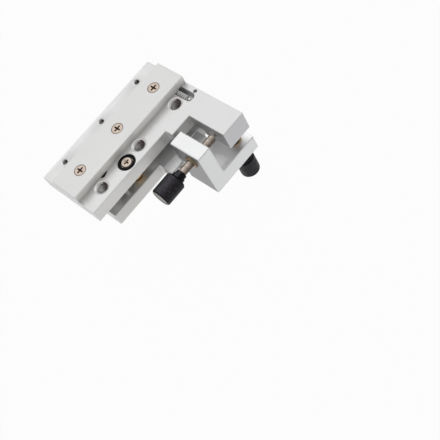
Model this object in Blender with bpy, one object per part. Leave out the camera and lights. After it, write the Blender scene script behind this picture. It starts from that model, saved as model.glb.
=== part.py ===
"""Two-axis tilt stage: a rail-topped plate on a ball pivot, pushed by two knurled adjusters.

World frame: metres, +X towards the end with the arm, +Z up, -Y is the adjusters' side.
The origin is the centre of the base plate's underside.
"""
import math

import bmesh
import bpy
from mathutils import Matrix, Vector

MM = 0.001
TO_X = Matrix(((0, 0, 1, 0), (1, 0, 0, 0), (0, 1, 0, 0), (0, 0, 0, 1)))
TO_Y = Matrix(((0, 1, 0, 0), (0, 0, 1, 0), (1, 0, 0, 0), (0, 0, 0, 1)))

# Base plate, centred on the origin. Its outline follows the tilting plate's.
BASE_END_INSET = 0.9 * MM
BASE_SIDE_INSET = 1.6 * MM
BASE_THICKNESS = 7.0 * MM
BASE_STEP = 2.9 * MM
BASE_STEP_INSET = 0.5 * MM
BASE_END_HOLE_RADIUS = 1.5 * MM
BASE_END_HOLE_DEPTH = 8.0 * MM
BASE_END_HOLE_PITCH = 15.3 * MM
BASE_END_HOLE_COUNT = 3
PLATE_GAP = 4.9 * MM

# Tilting plate: a long plate with a wider part and a thick arm at one end.
PLATE_LENGTH = 73.0 * MM
PLATE_WIDTH = 36.0 * MM
PLATE_THICKNESS = 7.2 * MM
PLATE_OVERHANG = 6.1 * MM
PLATE_SIDE_INSET = 0.6 * MM
WIDE_STEP = 4.3 * MM
WIDE_LENGTH = 24.7 * MM
ARM_WIDTH = 13.1 * MM
ARM_REACH = 21.3 * MM
ARM_THICKNESS = 10.8 * MM
ARM_UNDERCUT = 6.0 * MM
EDGE_BEVEL = 0.35 * MM

# Holes in the tilting plate.
HOLE_PITCH = 25.0 * MM
HOLE_END = 10.0 * MM
BIG_HOLE_RADIUS = 2.65 * MM
BIG_HOLE_CHAMFER = 0.45 * MM
BIG_HOLE_EDGE = 6.2 * MM
SMALL_HOLE_RADIUS = 1.25 * MM
SMALL_HOLE_EDGE = 3.3 * MM
CORNER_HOLE_RADIUS = 0.9 * MM
CORNER_HOLE_EDGE = 1.7 * MM
CORNER_HOLE_SIDE = 2.4 * MM
CORNER_HOLE_DEPTH = 5.0 * MM

# Raised bar on the tilting plate.
BAR_WIDTH = 16.5 * MM
BAR_HEIGHT = 4.4 * MM
BAR_EDGE = 10.0 * MM
BAR_SCREW_HEAD_RADIUS = 2.8 * MM
BAR_SCREW_RADIUS = 1.5 * MM
BAR_SCREW_HEAD_HEIGHT = 1.5 * MM
BAR_SCREW_LENGTH = 8.0 * MM
CROSS_WIDTH = 0.85 * MM
CROSS_DEPTH = 0.8 * MM
CROSS_SPAN_SHARE = 0.62
BLIND_ALLOWANCE = 1.0 * MM

# Ball pivot with its screw and rubber ring.
PIVOT_FROM_END = 26.9 * MM
PIVOT_EDGE = 5.0 * MM
PIVOT_BALL_RADIUS = 3.1 * MM
BALL_SEAT_RADIUS = 2.3 * MM
BALL_SEAT_DEPTH = 1.6 * MM
PIVOT_SCREW_RADIUS = 1.5 * MM
PIVOT_SCREW_GRIP = 4.2 * MM
PIVOT_HEAD_RADIUS = 2.6 * MM
PIVOT_HEAD_HEIGHT = 1.1 * MM
PIVOT_HEAD_RISE = 0.25 * MM
RING_CORD_RADIUS = 0.6 * MM
RING_RISE = 0.35 * MM
RING_POCKET_DEPTH = 1.15 * MM
RING_SWING = 0.55 * MM
RING_POCKET_GAP = 0.15 * MM

# Second ball, which rests on a hard pad and completes the pitch axis.
SUPPORT_EDGE = 9.7 * MM
PAD_RADIUS = 4.2 * MM
PAD_THICKNESS = 1.5 * MM

# Pitch return spring between the base and the bar's underside.
PITCH_SPRING_FROM_END = 16.7 * MM
PITCH_SPRING_EDGE = 12.4 * MM
PITCH_SPRING_RADIUS = 1.9 * MM
PITCH_SPRING_WIRE = 0.3 * MM
PITCH_SPRING_TURNS = 10
PITCH_SPRING_HOLE_RADIUS = 3.0 * MM
PITCH_SPRING_POCKET_DEPTH = 3.0 * MM
PITCH_SPRING_TOP_GAP = 0.8 * MM

# Stop pin in its pocket in the base's top.
STOP_PIN_FROM_PIVOT = 8.2 * MM
STOP_PIN_EDGE = 5.0 * MM
STOP_PIN_RADIUS = 1.3 * MM
STOP_PIN_RISE = 2.4 * MM
STOP_PIN_GRIP = 3.0 * MM
STOP_POCKET_RADIUS = 4.4 * MM
STOP_POCKET_DEPTH = 1.2 * MM

# Yaw return spring in its slot: a pin in the plate holds one end, a post in the base the other.
SLOT_FROM_ARM_END = 5.35 * MM
SLOT_RADIUS = 2.4 * MM
SLOT_END_EDGE = 0.2 * MM
SLOT_END_GAP = 0.78 * MM
SLOT_BLIND_DEPTH = 4.6 * MM
YAW_SPRING_RADIUS = 1.2 * MM
YAW_SPRING_WIRE = 0.22 * MM
YAW_SPRING_TURNS = 9
YAW_SPRING_DROP = 1.9 * MM
YAW_SPRING_SHIFT = 0.55 * MM
SPRING_PIN_RADIUS = 0.6 * MM
SPRING_PIN_GRIP = 2.0 * MM
SPRING_PIN_DROP = 0.8 * MM
SPRING_PIN_END = 2.5 * MM
SPRING_POST_SPAN = 14.2 * MM
SPRING_POST_DROP = 1.6 * MM
SPRING_POST_TRAVEL = 2.6 * MM
HOOK_LEAD = 0.8 * MM
LONG_HOOK_RADIUS = 1.5 * MM
LONG_HOOK_HALF = 1.3 * MM

# Bracket: a post, a lower arm and the lug that bolts to the base plate's side.
POST_ARM_GAP = 8.0 * MM
POST_THICKNESS = 7.5 * MM
BRACKET_ARM_INSET = 1.2 * MM
BRACKET_SIDE_GAP = 2.0 * MM
BRACKET_HEIGHT = 27.4 * MM
LOWER_ARM_INSET = 0.1 * MM
LOWER_ARM_THICKNESS = 8.3 * MM
LUG_LENGTH = 8.0 * MM
LUG_DEPTH = 5.5 * MM
LUG_SCREW_RADIUS = 1.5 * MM
LUG_SCREW_HEAD_RADIUS = 2.6 * MM
LUG_SCREW_HEAD_HEIGHT = 2.8 * MM
LUG_SCREW_SINK = 0.3 * MM
LUG_SCREW_GRIP = 6.1 * MM
HEX_RADIUS = 1.4 * MM
HEX_DEPTH = 1.3 * MM
DOWEL_RADIUS = 1.2 * MM
DOWEL_LENGTH = 9.0 * MM
DOWEL_PITCH = 3.6 * MM
DOWEL_FROM_LUG = 9.7 * MM

# Adjusters: a fine screw with a knurled knob, in a brass bushing, and a ball tip on a pad.
YAW_AXIS_FROM_TIP = 8.6 * MM
YAW_AXIS_DROP = 6.7 * MM
PITCH_AXIS_FROM_TIP = 7.7 * MM
PITCH_AXIS_SHIFT = 0.4 * MM
SCREW_RADIUS = 1.95 * MM
BUSHING_RADIUS = 2.8 * MM
BUSHING_FLANGE_RADIUS = 3.35 * MM
BUSHING_FLANGE = 0.5 * MM
KNOB_RADIUS = 4.85 * MM
KNOB_LENGTH = 11.2 * MM
KNOB_CHAMFER = 0.7 * MM
NECK_RADIUS = 3.0 * MM
NECK_STEP = 0.45 * MM
NECK_LENGTH = 3.5 * MM
KNOB_GRIP = 9.0 * MM
YAW_KNOB_STANDOFF = 6.7 * MM
PITCH_KNOB_STANDOFF = 1.9 * MM
TIP_BALL_RADIUS = 1.55 * MM
TIP_BALL_PROUD = 1.0 * MM
PRESS_PAD_RADIUS = 3.2 * MM
PRESS_PAD_THICKNESS = 1.6 * MM
PRESS_PAD_SINK = 0.3 * MM

# Clearances and drawing values.
SEAT_GAP = 0.3 * MM
RUN_GAP = 0.15 * MM
CUT_OVERRUN = 1.0 * MM
ROUND_STEPS = 32
FINE_STEPS = 20
COIL_POINTS = 9

# Places that follow from the sizes above.
base_length = PLATE_LENGTH - PLATE_OVERHANG - BASE_END_INSET
base_width = PLATE_WIDTH + PLATE_SIDE_INSET - BASE_SIDE_INSET
base_x0 = -base_length / 2
base_y0 = -base_width / 2
plate_x0 = base_x0 - PLATE_OVERHANG
plate_x1 = plate_x0 + PLATE_LENGTH
plate_y0 = base_y0 + PLATE_SIDE_INSET
plate_y1 = plate_y0 + PLATE_WIDTH
plate_z0 = BASE_THICKNESS + PLATE_GAP
plate_z1 = plate_z0 + PLATE_THICKNESS
wide_x0 = plate_x1 - WIDE_LENGTH
wide_y0 = plate_y0 - WIDE_STEP
arm_x0 = plate_x1 - ARM_WIDTH
arm_y0 = wide_y0 - ARM_REACH
arm_step_y = wide_y0 - ARM_UNDERCUT
arm_z0 = plate_z1 - ARM_THICKNESS
hole_count = int((PLATE_LENGTH - 2 * HOLE_END) / HOLE_PITCH) + 1
hole_x0 = plate_x0 + (PLATE_LENGTH - HOLE_PITCH * (hole_count - 1)) / 2
hole_xs = [hole_x0 + HOLE_PITCH * i for i in range(hole_count)]
bar_y0 = plate_y0 + BAR_EDGE
bar_y1 = bar_y0 + BAR_WIDTH
bar_y = (bar_y0 + bar_y1) / 2
bar_z1 = plate_z1 + BAR_HEIGHT
pivot_x = plate_x0 + PIVOT_FROM_END
pivot_y = plate_y0 + PIVOT_EDGE
pivot_z = BASE_THICKNESS + PLATE_GAP / 2
support_y = plate_y1 - SUPPORT_EDGE
pitch_spring_x = plate_x0 + PITCH_SPRING_FROM_END
pitch_spring_y = plate_y0 + PITCH_SPRING_EDGE
stop_x = pivot_x - STOP_PIN_FROM_PIVOT
stop_y = plate_y0 + STOP_PIN_EDGE
slot_x = plate_x1 - SLOT_FROM_ARM_END
yaw_spring_x = slot_x - YAW_SPRING_SHIFT
slot_y0 = plate_y0 + SLOT_END_EDGE
spring_pin_y = slot_y0 + SPRING_PIN_END
spring_post_y = spring_pin_y + SPRING_POST_SPAN
long_hook_y1 = spring_post_y + LONG_HOOK_HALF + LONG_HOOK_RADIUS
slot_y1 = long_hook_y1 + YAW_SPRING_WIRE + SLOT_END_GAP
yaw_spring_z = plate_z1 - YAW_SPRING_DROP
post_x1 = arm_x0 - POST_ARM_GAP
post_x0 = post_x1 - POST_THICKNESS
bracket_y1 = wide_y0 - BRACKET_SIDE_GAP
bracket_y0 = arm_y0 + BRACKET_ARM_INSET
bracket_z1 = plate_z1
bracket_z0 = bracket_z1 - BRACKET_HEIGHT
lower_z1 = bracket_z0 + LOWER_ARM_THICKNESS
lower_x1 = plate_x1 - LOWER_ARM_INSET
lug_x0 = post_x0 - LUG_LENGTH
lug_x1 = arm_x0
base_step_x0 = lug_x0 + BASE_STEP_INSET
base_step_y0 = base_y0 - BASE_STEP
lug_y1 = base_step_y0 - SEAT_GAP
lug_y0 = lug_y1 - LUG_DEPTH
yaw_axis_y = arm_y0 + YAW_AXIS_FROM_TIP
yaw_axis_z = plate_z1 - YAW_AXIS_DROP
pitch_axis_x = arm_x0 + ARM_WIDTH / 2 + PITCH_AXIS_SHIFT
pitch_axis_y = arm_y0 + PITCH_AXIS_FROM_TIP

for item in list(bpy.data.objects):
    bpy.data.objects.remove(item, do_unlink=True)


def material(name, colour, roughness, metallic):
    made = bpy.data.materials.new(name)
    made.use_nodes = True
    shader = made.node_tree.nodes["Principled BSDF"]
    shader.inputs["Base Color"].default_value = (*colour, 1.0)
    shader.inputs["Roughness"].default_value = roughness
    shader.inputs["Metallic"].default_value = metallic
    return made


ALUMINIUM = material("satin_aluminium", (0.72, 0.73, 0.74), 0.38, 1.0)
ARM_ALUMINIUM = material("bracket_aluminium", (0.70, 0.71, 0.72), 0.4, 1.0)
BAR_ALUMINIUM = material("bar_aluminium", (0.74, 0.74, 0.75), 0.34, 1.0)
SCREW_NICKEL = material("warm_nickel", (0.62, 0.54, 0.44), 0.3, 1.0)
BRASS = material("brass", (0.78, 0.55, 0.22), 0.28, 1.0)
STEEL = material("bright_steel", (0.60, 0.59, 0.57), 0.25, 1.0)
SPRING_STEEL = material("spring_steel", (0.56, 0.56, 0.57), 0.3, 1.0)
BLACK_KNOB = material("black_knurl", (0.015, 0.013, 0.018), 0.45, 0.6)
BLACK_RUBBER = material("black_rubber", (0.01, 0.01, 0.011), 0.7, 0.0)


def finish(name, bm, look, centre, parent=None):
    """Turns a bmesh drawn in world places into an object whose origin is at centre."""
    bmesh.ops.recalc_face_normals(bm, faces=bm.faces)
    bmesh.ops.translate(bm, verts=bm.verts, vec=[-value for value in centre])
    mesh = bpy.data.meshes.new(name)
    bm.to_mesh(mesh)
    bm.free()
    mesh.materials.append(look)
    mesh.shade_smooth()
    mesh.set_sharp_from_angle(angle=math.radians(30))
    obj = bpy.data.objects.new(name, mesh)
    bpy.context.scene.collection.objects.link(obj)
    obj.location = centre
    if parent is not None:
        obj.parent = parent
        obj.location = [place - own for place, own in zip(centre, parent.location)]
    return obj


def empty(name, centre):
    holder = bpy.data.objects.new(name, None)
    bpy.context.scene.collection.objects.link(holder)
    holder.location = centre
    return holder


def prism(outline, z0, z1):
    """A straight prism over an outline in X and Y."""
    bm = bmesh.new()
    lower = [bm.verts.new((x, y, z0)) for x, y in outline]
    face = bm.faces.new(lower)
    risen = bmesh.ops.extrude_face_region(bm, geom=[face])
    tops = [part for part in risen["geom"] if isinstance(part, bmesh.types.BMVert)]
    bmesh.ops.translate(bm, verts=tops, vec=(0, 0, z1 - z0))
    return bm


def block(x0, x1, y0, y1, z0, z1):
    return prism([(x0, y0), (x1, y0), (x1, y1), (x0, y1)], z0, z1)


def side_prism(outline, y0, y1):
    """A straight prism over an outline in X and Z."""
    bm = bmesh.new()
    near = [bm.verts.new((x, y0, z)) for x, z in outline]
    face = bm.faces.new(near)
    pushed = bmesh.ops.extrude_face_region(bm, geom=[face])
    far = [part for part in pushed["geom"] if isinstance(part, bmesh.types.BMVert)]
    bmesh.ops.translate(bm, verts=far, vec=(0, y1 - y0, 0))
    return bm


def turned(profile, centre, axis="Z", steps=ROUND_STEPS, closed=False):
    """Turns a profile of (radius, height) pairs about an axis through centre."""
    bm = bmesh.new()
    rings = []
    for radius, height in profile:
        if radius == 0:
            rings.append([bm.verts.new((0, 0, height))])
            continue
        ring = []
        for step in range(steps):
            angle = 2 * math.pi * (step + 0.5) / steps
            ring.append(bm.verts.new((radius * math.cos(angle), radius * math.sin(angle), height)))
        rings.append(ring)
    pairs = list(zip(rings, rings[1:]))
    if closed:
        pairs.append((rings[-1], rings[0]))
    for first, second in pairs:
        for step in range(steps):
            after = (step + 1) % steps
            if len(first) == 1:
                bm.faces.new((first[0], second[step], second[after]))
            elif len(second) == 1:
                bm.faces.new((first[step], first[after], second[0]))
            else:
                bm.faces.new((first[step], first[after], second[after], second[step]))
    if axis == "X":
        bmesh.ops.transform(bm, matrix=TO_X, verts=bm.verts)
    elif axis == "Y":
        bmesh.ops.transform(bm, matrix=TO_Y, verts=bm.verts)
    bmesh.ops.translate(bm, verts=bm.verts, vec=centre)
    return bm


def add_bevel(obj, width):
    mod = obj.modifiers.new("edge_bevel", "BEVEL")
    mod.width = width
    mod.segments = 1
    mod.limit_method = "ANGLE"
    mod.angle_limit = math.radians(40)


def boolean(obj, cutter, operation="DIFFERENCE"):
    cutter.hide_render = True
    cutter.display_type = "WIRE"
    mod = obj.modifiers.new(cutter.name, "BOOLEAN")
    mod.operation = operation
    mod.object = cutter


def cut(obj, name, bm):
    tool = finish(name, bm, ALUMINIUM, (0, 0, 0))
    boolean(obj, tool)


def hole(radius, z0, z1, x, y, chamfer=0):
    """A vertical cutter from z0 up to z1, widened over the chamfer just below z1."""
    top = z1 + CUT_OVERRUN
    if chamfer:
        profile = [(0, z0), (radius, z0), (radius, z1 - chamfer),
                   (radius + chamfer, z1), (radius + chamfer, top), (0, top)]
    else:
        profile = [(0, z0), (radius, z0), (radius, top), (0, top)]
    return turned(profile, (x, y, 0))


def obround(x, y0, y1, radius, z0, z1):
    """A slot cutter along Y with round ends."""
    outline = []
    half = ROUND_STEPS // 2
    for step in range(half + 1):
        angle = math.pi * step / half
        outline.append((x + radius * math.cos(angle), y1 - radius + radius * math.sin(angle)))
    for step in range(half + 1):
        angle = math.pi + math.pi * step / half
        outline.append((x + radius * math.cos(angle), y0 + radius + radius * math.sin(angle)))
    return prism(outline, z0, z1)


def cross_cutter(span, x, y, top):
    """A plus-shaped prism for a cross recess."""
    half = span / 2
    arm = CROSS_WIDTH / 2
    outline = [(-half, -arm), (-arm, -arm), (-arm, -half), (arm, -half), (arm, -arm), (half, -arm),
               (half, arm), (arm, arm), (arm, half), (-arm, half), (-arm, arm), (-half, arm)]
    return prism([(x + px, y + py) for px, py in outline], top - CROSS_DEPTH, top + CUT_OVERRUN)


def tube(name, points, radius, look, centre, parent=None):
    """A round wire along a row of points, capped at both ends."""
    curve = bpy.data.curves.new(name, "CURVE")
    curve.dimensions = "3D"
    curve.bevel_depth = radius
    curve.bevel_resolution = 1
    curve.use_fill_caps = True
    line = curve.splines.new("POLY")
    line.points.add(len(points) - 1)
    for place, point in zip(line.points, points):
        place.co = (*(value - own for value, own in zip(point, centre)), 1)
    curve.materials.append(look)
    obj = bpy.data.objects.new(name, curve)
    bpy.context.scene.collection.objects.link(obj)
    obj.location = centre
    if parent is not None:
        obj.parent = parent
        obj.location = [place - own for place, own in zip(centre, parent.location)]
    return obj


def least_gap(points, radius, skip):
    """The least clear distance between stretches of a wire more than skip points apart."""
    least = None
    for i, first in enumerate(points):
        for second in points[i + skip:]:
            apart = (Vector(first) - Vector(second)).length - 2 * radius
            if least is None or apart < least:
                least = apart
    return least


# Joint empties: yaw turns about Z and pitch about Y, both through the ball pivot.
stage_joint = empty("stage_joint", (pivot_x, pivot_y, pivot_z))

# Base plate, with its ball seat, pad pocket, spring pocket, stop pocket and tapped ends.
base = finish("base_plate", prism([(base_x0, base_y0), (base_step_x0, base_y0), (base_step_x0, base_step_y0),
                                   (-base_x0, base_step_y0), (-base_x0, -base_y0), (base_x0, -base_y0)],
                                  0, BASE_THICKNESS), ALUMINIUM, (0, 0, 0))
add_bevel(base, EDGE_BEVEL)
seat_floor = BASE_THICKNESS - BALL_SEAT_DEPTH
tap_floor = seat_floor - PIVOT_SCREW_GRIP
over = BASE_THICKNESS + CUT_OVERRUN
tap_radius = PIVOT_SCREW_RADIUS + SEAT_GAP
cut(base, "cut_pivot_seat", turned([(0, tap_floor), (tap_radius, tap_floor), (tap_radius, seat_floor),
                                    (BALL_SEAT_RADIUS, seat_floor), (BALL_SEAT_RADIUS, over), (0, over)],
                                   (pivot_x, pivot_y, 0)))
pad_top = pivot_z - PIVOT_BALL_RADIUS - SEAT_GAP
pad_bottom = pad_top - PAD_THICKNESS
cut(base, "cut_pad_pocket", hole(PAD_RADIUS + SEAT_GAP, pad_bottom - SEAT_GAP, BASE_THICKNESS,
                                 pivot_x, support_y))
cut(base, "cut_pitch_spring_pocket", hole(PITCH_SPRING_HOLE_RADIUS,
                                          BASE_THICKNESS - PITCH_SPRING_POCKET_DEPTH,
                                          BASE_THICKNESS, pitch_spring_x, pitch_spring_y))
stop_floor = BASE_THICKNESS - STOP_POCKET_DEPTH
stop_grip_floor = stop_floor - STOP_PIN_GRIP
stop_bore = STOP_PIN_RADIUS + SEAT_GAP
cut(base, "cut_stop_pocket", turned([(0, stop_grip_floor), (stop_bore, stop_grip_floor),
                                     (stop_bore, stop_floor), (STOP_POCKET_RADIUS, stop_floor),
                                     (STOP_POCKET_RADIUS, over), (0, over)], (stop_x, stop_y, 0)))
post_bore = SPRING_PIN_RADIUS + SEAT_GAP
post_floor = BASE_THICKNESS - SPRING_PIN_GRIP - SEAT_GAP
cut(base, "cut_spring_post_bore", hole(post_bore, post_floor, BASE_THICKNESS, yaw_spring_x, spring_post_y))
for index in range(BASE_END_HOLE_COUNT):
    across = (index - (BASE_END_HOLE_COUNT - 1) / 2) * BASE_END_HOLE_PITCH
    start = base_x0 - CUT_OVERRUN
    end = base_x0 + BASE_END_HOLE_DEPTH
    cut(base, "cut_base_end_hole_%d" % (index + 1),
        turned([(0, start), (BASE_END_HOLE_RADIUS, start), (BASE_END_HOLE_RADIUS, end), (0, end)],
               (0, across, BASE_THICKNESS / 2), "X", FINE_STEPS))
lug_screw_x = (lug_x0 + post_x0) / 2
lug_z = BASE_THICKNESS / 2
tapped = LUG_SCREW_RADIUS + SEAT_GAP
lug_tap_end = base_step_y0 + LUG_SCREW_GRIP + SEAT_GAP
cut(base, "cut_lug_tap", turned([(0, base_step_y0 - CUT_OVERRUN), (tapped, base_step_y0 - CUT_OVERRUN),
                                 (tapped, lug_tap_end), (0, lug_tap_end)],
                                (lug_screw_x, 0, lug_z), "Y", FINE_STEPS))
dowel_x0 = lug_x0 + DOWEL_FROM_LUG
dowel_xs = [dowel_x0, dowel_x0 + DOWEL_PITCH]
dowel_y0 = base_step_y0 - DOWEL_LENGTH / 2
dowel_y1 = base_step_y0 + DOWEL_LENGTH / 2
dowel_bore = DOWEL_RADIUS + SEAT_GAP
for index, dowel_x in enumerate(dowel_xs):
    end = dowel_y1 + SEAT_GAP
    start = base_step_y0 - CUT_OVERRUN
    cut(base, "cut_base_dowel_%d" % (index + 1),
        turned([(0, start), (dowel_bore, start), (dowel_bore, end), (0, end)],
               (dowel_x, 0, lug_z), "Y", FINE_STEPS))

# Bracket: post and lower arm as one outline, and the lug on its side.
bracket = finish("bracket", side_prism([(post_x0, bracket_z0), (lower_x1, bracket_z0), (lower_x1, lower_z1),
                                        (post_x1, lower_z1), (post_x1, bracket_z1), (post_x0, bracket_z1)],
                                       bracket_y0, bracket_y1), ARM_ALUMINIUM, (0, 0, 0))
lug = finish("join_lug", block(lug_x0, lug_x1, lug_y0, lug_y1, 0, BASE_THICKNESS),
             ARM_ALUMINIUM, (0, 0, 0))
boolean(bracket, lug, "UNION")
add_bevel(bracket, EDGE_BEVEL)
bushing_bore = BUSHING_RADIUS + SEAT_GAP
cut(bracket, "cut_yaw_bushing_bore",
    turned([(0, post_x0 - CUT_OVERRUN), (bushing_bore, post_x0 - CUT_OVERRUN),
            (bushing_bore, post_x1 + CUT_OVERRUN), (0, post_x1 + CUT_OVERRUN)],
           (0, yaw_axis_y, yaw_axis_z), "X"))
cut(bracket, "cut_pitch_bushing_bore",
    turned([(0, bracket_z0 - CUT_OVERRUN), (bushing_bore, bracket_z0 - CUT_OVERRUN),
            (bushing_bore, lower_z1 + CUT_OVERRUN), (0, lower_z1 + CUT_OVERRUN)],
           (pitch_axis_x, pitch_axis_y, 0)))
head_bore = LUG_SCREW_HEAD_RADIUS + SEAT_GAP
head_floor = lug_y0 + LUG_SCREW_SINK + LUG_SCREW_HEAD_HEIGHT + SEAT_GAP
cut(bracket, "cut_lug_screw_bore",
    turned([(0, lug_y0 - CUT_OVERRUN), (head_bore, lug_y0 - CUT_OVERRUN), (head_bore, head_floor),
            (tapped, head_floor), (tapped, lug_y1 + CUT_OVERRUN), (0, lug_y1 + CUT_OVERRUN)],
           (lug_screw_x, 0, lug_z), "Y", FINE_STEPS))
for index, dowel_x in enumerate(dowel_xs):
    start = dowel_y0 - SEAT_GAP
    cut(bracket, "cut_bracket_dowel_%d" % (index + 1),
        turned([(0, start), (dowel_bore, start), (dowel_bore, lug_y1 + CUT_OVERRUN),
                (0, lug_y1 + CUT_OVERRUN)], (dowel_x, 0, lug_z), "Y", FINE_STEPS))

# Cap screw and dowels between the lug and the base plate.
screw_y0 = lug_y0 + LUG_SCREW_SINK
screw_head_y1 = screw_y0 + LUG_SCREW_HEAD_HEIGHT
screw_y1 = base_step_y0 + LUG_SCREW_GRIP
lug_screw = finish("bracket_cap_screw",
                   turned([(0, screw_y0), (LUG_SCREW_HEAD_RADIUS, screw_y0),
                           (LUG_SCREW_HEAD_RADIUS, screw_head_y1), (LUG_SCREW_RADIUS, screw_head_y1),
                           (LUG_SCREW_RADIUS, screw_y1), (0, screw_y1)],
                          (lug_screw_x, 0, lug_z), "Y", FINE_STEPS), STEEL, (lug_screw_x, screw_y0, lug_z))
cut(lug_screw, "cut_cap_socket",
    turned([(0, screw_y0 - CUT_OVERRUN), (HEX_RADIUS, screw_y0 - CUT_OVERRUN),
            (HEX_RADIUS, screw_y0 + HEX_DEPTH), (0, screw_y0 + HEX_DEPTH)],
           (lug_screw_x, 0, lug_z), "Y", 6))
for index, dowel_x in enumerate(dowel_xs):
    finish("bracket_dowel_%d" % (index + 1),
           turned([(0, dowel_y0), (DOWEL_RADIUS, dowel_y0), (DOWEL_RADIUS, dowel_y1), (0, dowel_y1)],
                  (dowel_x, 0, lug_z), "Y", FINE_STEPS), STEEL, (dowel_x, base_step_y0, lug_z))

# Pivot screw with its cross recess, the rubber ring round its head, and the bored ball.
head_top = plate_z1 + PIVOT_HEAD_RISE
head_base = head_top - PIVOT_HEAD_HEIGHT
screw_end = tap_floor + SEAT_GAP
pivot_screw = finish("pivot_screw",
                     turned([(0, screw_end), (PIVOT_SCREW_RADIUS, screw_end),
                             (PIVOT_SCREW_RADIUS, head_base), (PIVOT_HEAD_RADIUS, head_base),
                             (PIVOT_HEAD_RADIUS, head_top - EDGE_BEVEL),
                             (PIVOT_HEAD_RADIUS - EDGE_BEVEL, head_top), (0, head_top)],
                            (pivot_x, pivot_y, 0)), SCREW_NICKEL, (pivot_x, pivot_y, head_top))
cut(pivot_screw, "cut_pivot_cross",
    cross_cutter(2 * PIVOT_HEAD_RADIUS * CROSS_SPAN_SHARE, pivot_x, pivot_y, head_top))
ring_radius = PIVOT_HEAD_RADIUS + RING_SWING + RING_CORD_RADIUS
ring_z = plate_z1 + RING_RISE - RING_CORD_RADIUS
ring_profile = []
for step in range(FINE_STEPS // 2):
    turn = 2 * math.pi * step / (FINE_STEPS // 2)
    ring_profile.append((ring_radius + RING_CORD_RADIUS * math.cos(turn),
                         RING_CORD_RADIUS * math.sin(turn)))
finish("pivot_ring", turned(ring_profile, (pivot_x, pivot_y, ring_z), "Z", ROUND_STEPS, True),
       BLACK_RUBBER, (pivot_x, pivot_y, ring_z), stage_joint)


def ball_profile(radius, bore, steps):
    """Half outline of a ball, or of a ball with a straight bore."""
    if bore:
        reach = math.acos(bore / radius)
        outer = [(radius * math.cos(reach - 2 * reach * i / steps),
                  radius * math.sin(reach - 2 * reach * i / steps)) for i in range(steps + 1)]
        return outer
    return [(0, radius)] + [(radius * math.sin(math.pi * i / steps), radius * math.cos(math.pi * i / steps))
                            for i in range(1, steps)] + [(0, -radius)]


finish("pivot_ball", turned(ball_profile(PIVOT_BALL_RADIUS, PIVOT_SCREW_RADIUS + SEAT_GAP, FINE_STEPS // 2),
                            (pivot_x, pivot_y, pivot_z), "Z", FINE_STEPS, True),
       BRASS, (pivot_x, pivot_y, pivot_z), stage_joint)
finish("support_ball", turned(ball_profile(PIVOT_BALL_RADIUS, 0, FINE_STEPS // 2),
                              (pivot_x, support_y, pivot_z), "Z", FINE_STEPS),
       STEEL, (pivot_x, support_y, pivot_z), stage_joint)
finish("support_pad", turned([(0, pad_bottom), (PAD_RADIUS, pad_bottom), (PAD_RADIUS, pad_top), (0, pad_top)],
                             (pivot_x, support_y, 0)), STEEL, (pivot_x, support_y, pad_bottom))
pin_bottom = stop_grip_floor + SEAT_GAP
pin_top = BASE_THICKNESS + STOP_PIN_RISE
finish("stop_pin", turned([(0, pin_bottom), (STOP_PIN_RADIUS, pin_bottom), (STOP_PIN_RADIUS, pin_top - EDGE_BEVEL),
                           (STOP_PIN_RADIUS - EDGE_BEVEL, pin_top), (0, pin_top)], (stop_x, stop_y, 0),
                          "Z", FINE_STEPS), STEEL, (stop_x, stop_y, pin_bottom))

# Tilting plate: the long plate with its wider part, joined to the thick arm. The arm gets thick
# only past an undercut, which keeps its lower face off the base plate's side in every pose.
plate = finish("tilt_plate", prism([(plate_x0, plate_y0), (wide_x0, plate_y0), (wide_x0, wide_y0),
                                    (arm_x0, wide_y0), (arm_x0, arm_step_y), (plate_x1, arm_step_y),
                                    (plate_x1, plate_y1), (plate_x0, plate_y1)],
                                   plate_z0, plate_z1), ALUMINIUM, (pivot_x, pivot_y, pivot_z), stage_joint)
arm = finish("join_arm", block(arm_x0, plate_x1, arm_y0, arm_step_y, arm_z0, plate_z1),
             ALUMINIUM, (0, 0, 0))
boolean(plate, arm, "UNION")
add_bevel(plate, EDGE_BEVEL)
through = plate_z0 - CUT_OVERRUN
big_y = plate_y0 + BIG_HOLE_EDGE
small_y = plate_y1 - SMALL_HOLE_EDGE
bar_tap_floor = bar_z1 - BAR_SCREW_LENGTH - BLIND_ALLOWANCE
for index, hole_x in enumerate(hole_xs):
    cut(plate, "cut_big_hole_%d" % (index + 1),
        hole(BIG_HOLE_RADIUS, through, plate_z1, hole_x, big_y, BIG_HOLE_CHAMFER))
    cut(plate, "cut_small_hole_%d" % (index + 1), hole(SMALL_HOLE_RADIUS, through, plate_z1, hole_x, small_y))
    cut(plate, "cut_bar_tap_%d" % (index + 1),
        hole(BAR_SCREW_RADIUS + SEAT_GAP, bar_tap_floor, plate_z1, hole_x, bar_y))
cut(plate, "cut_corner_hole", hole(CORNER_HOLE_RADIUS, plate_z1 - CORNER_HOLE_DEPTH, plate_z1,
                                   plate_x1 - CORNER_HOLE_EDGE, plate_y0 + CORNER_HOLE_SIDE))
cut(plate, "cut_pitch_spring_hole",
    hole(PITCH_SPRING_HOLE_RADIUS, through, plate_z1, pitch_spring_x, pitch_spring_y))
ring_pocket = ring_radius + RING_CORD_RADIUS + RING_POCKET_GAP
ring_floor = plate_z1 - RING_POCKET_DEPTH
plate_over = plate_z1 + CUT_OVERRUN
cut(plate, "cut_pivot_hole",
    turned([(0, through), (BALL_SEAT_RADIUS, through), (BALL_SEAT_RADIUS, ring_floor),
            (ring_pocket, ring_floor), (ring_pocket, plate_over), (0, plate_over)], (pivot_x, pivot_y, 0)))
support_seat_top = plate_z0 + BALL_SEAT_DEPTH
cut(plate, "cut_support_seat",
    turned([(0, through), (BALL_SEAT_RADIUS, through), (BALL_SEAT_RADIUS, support_seat_top),
            (0, support_seat_top)], (pivot_x, support_y, 0)))
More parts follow.
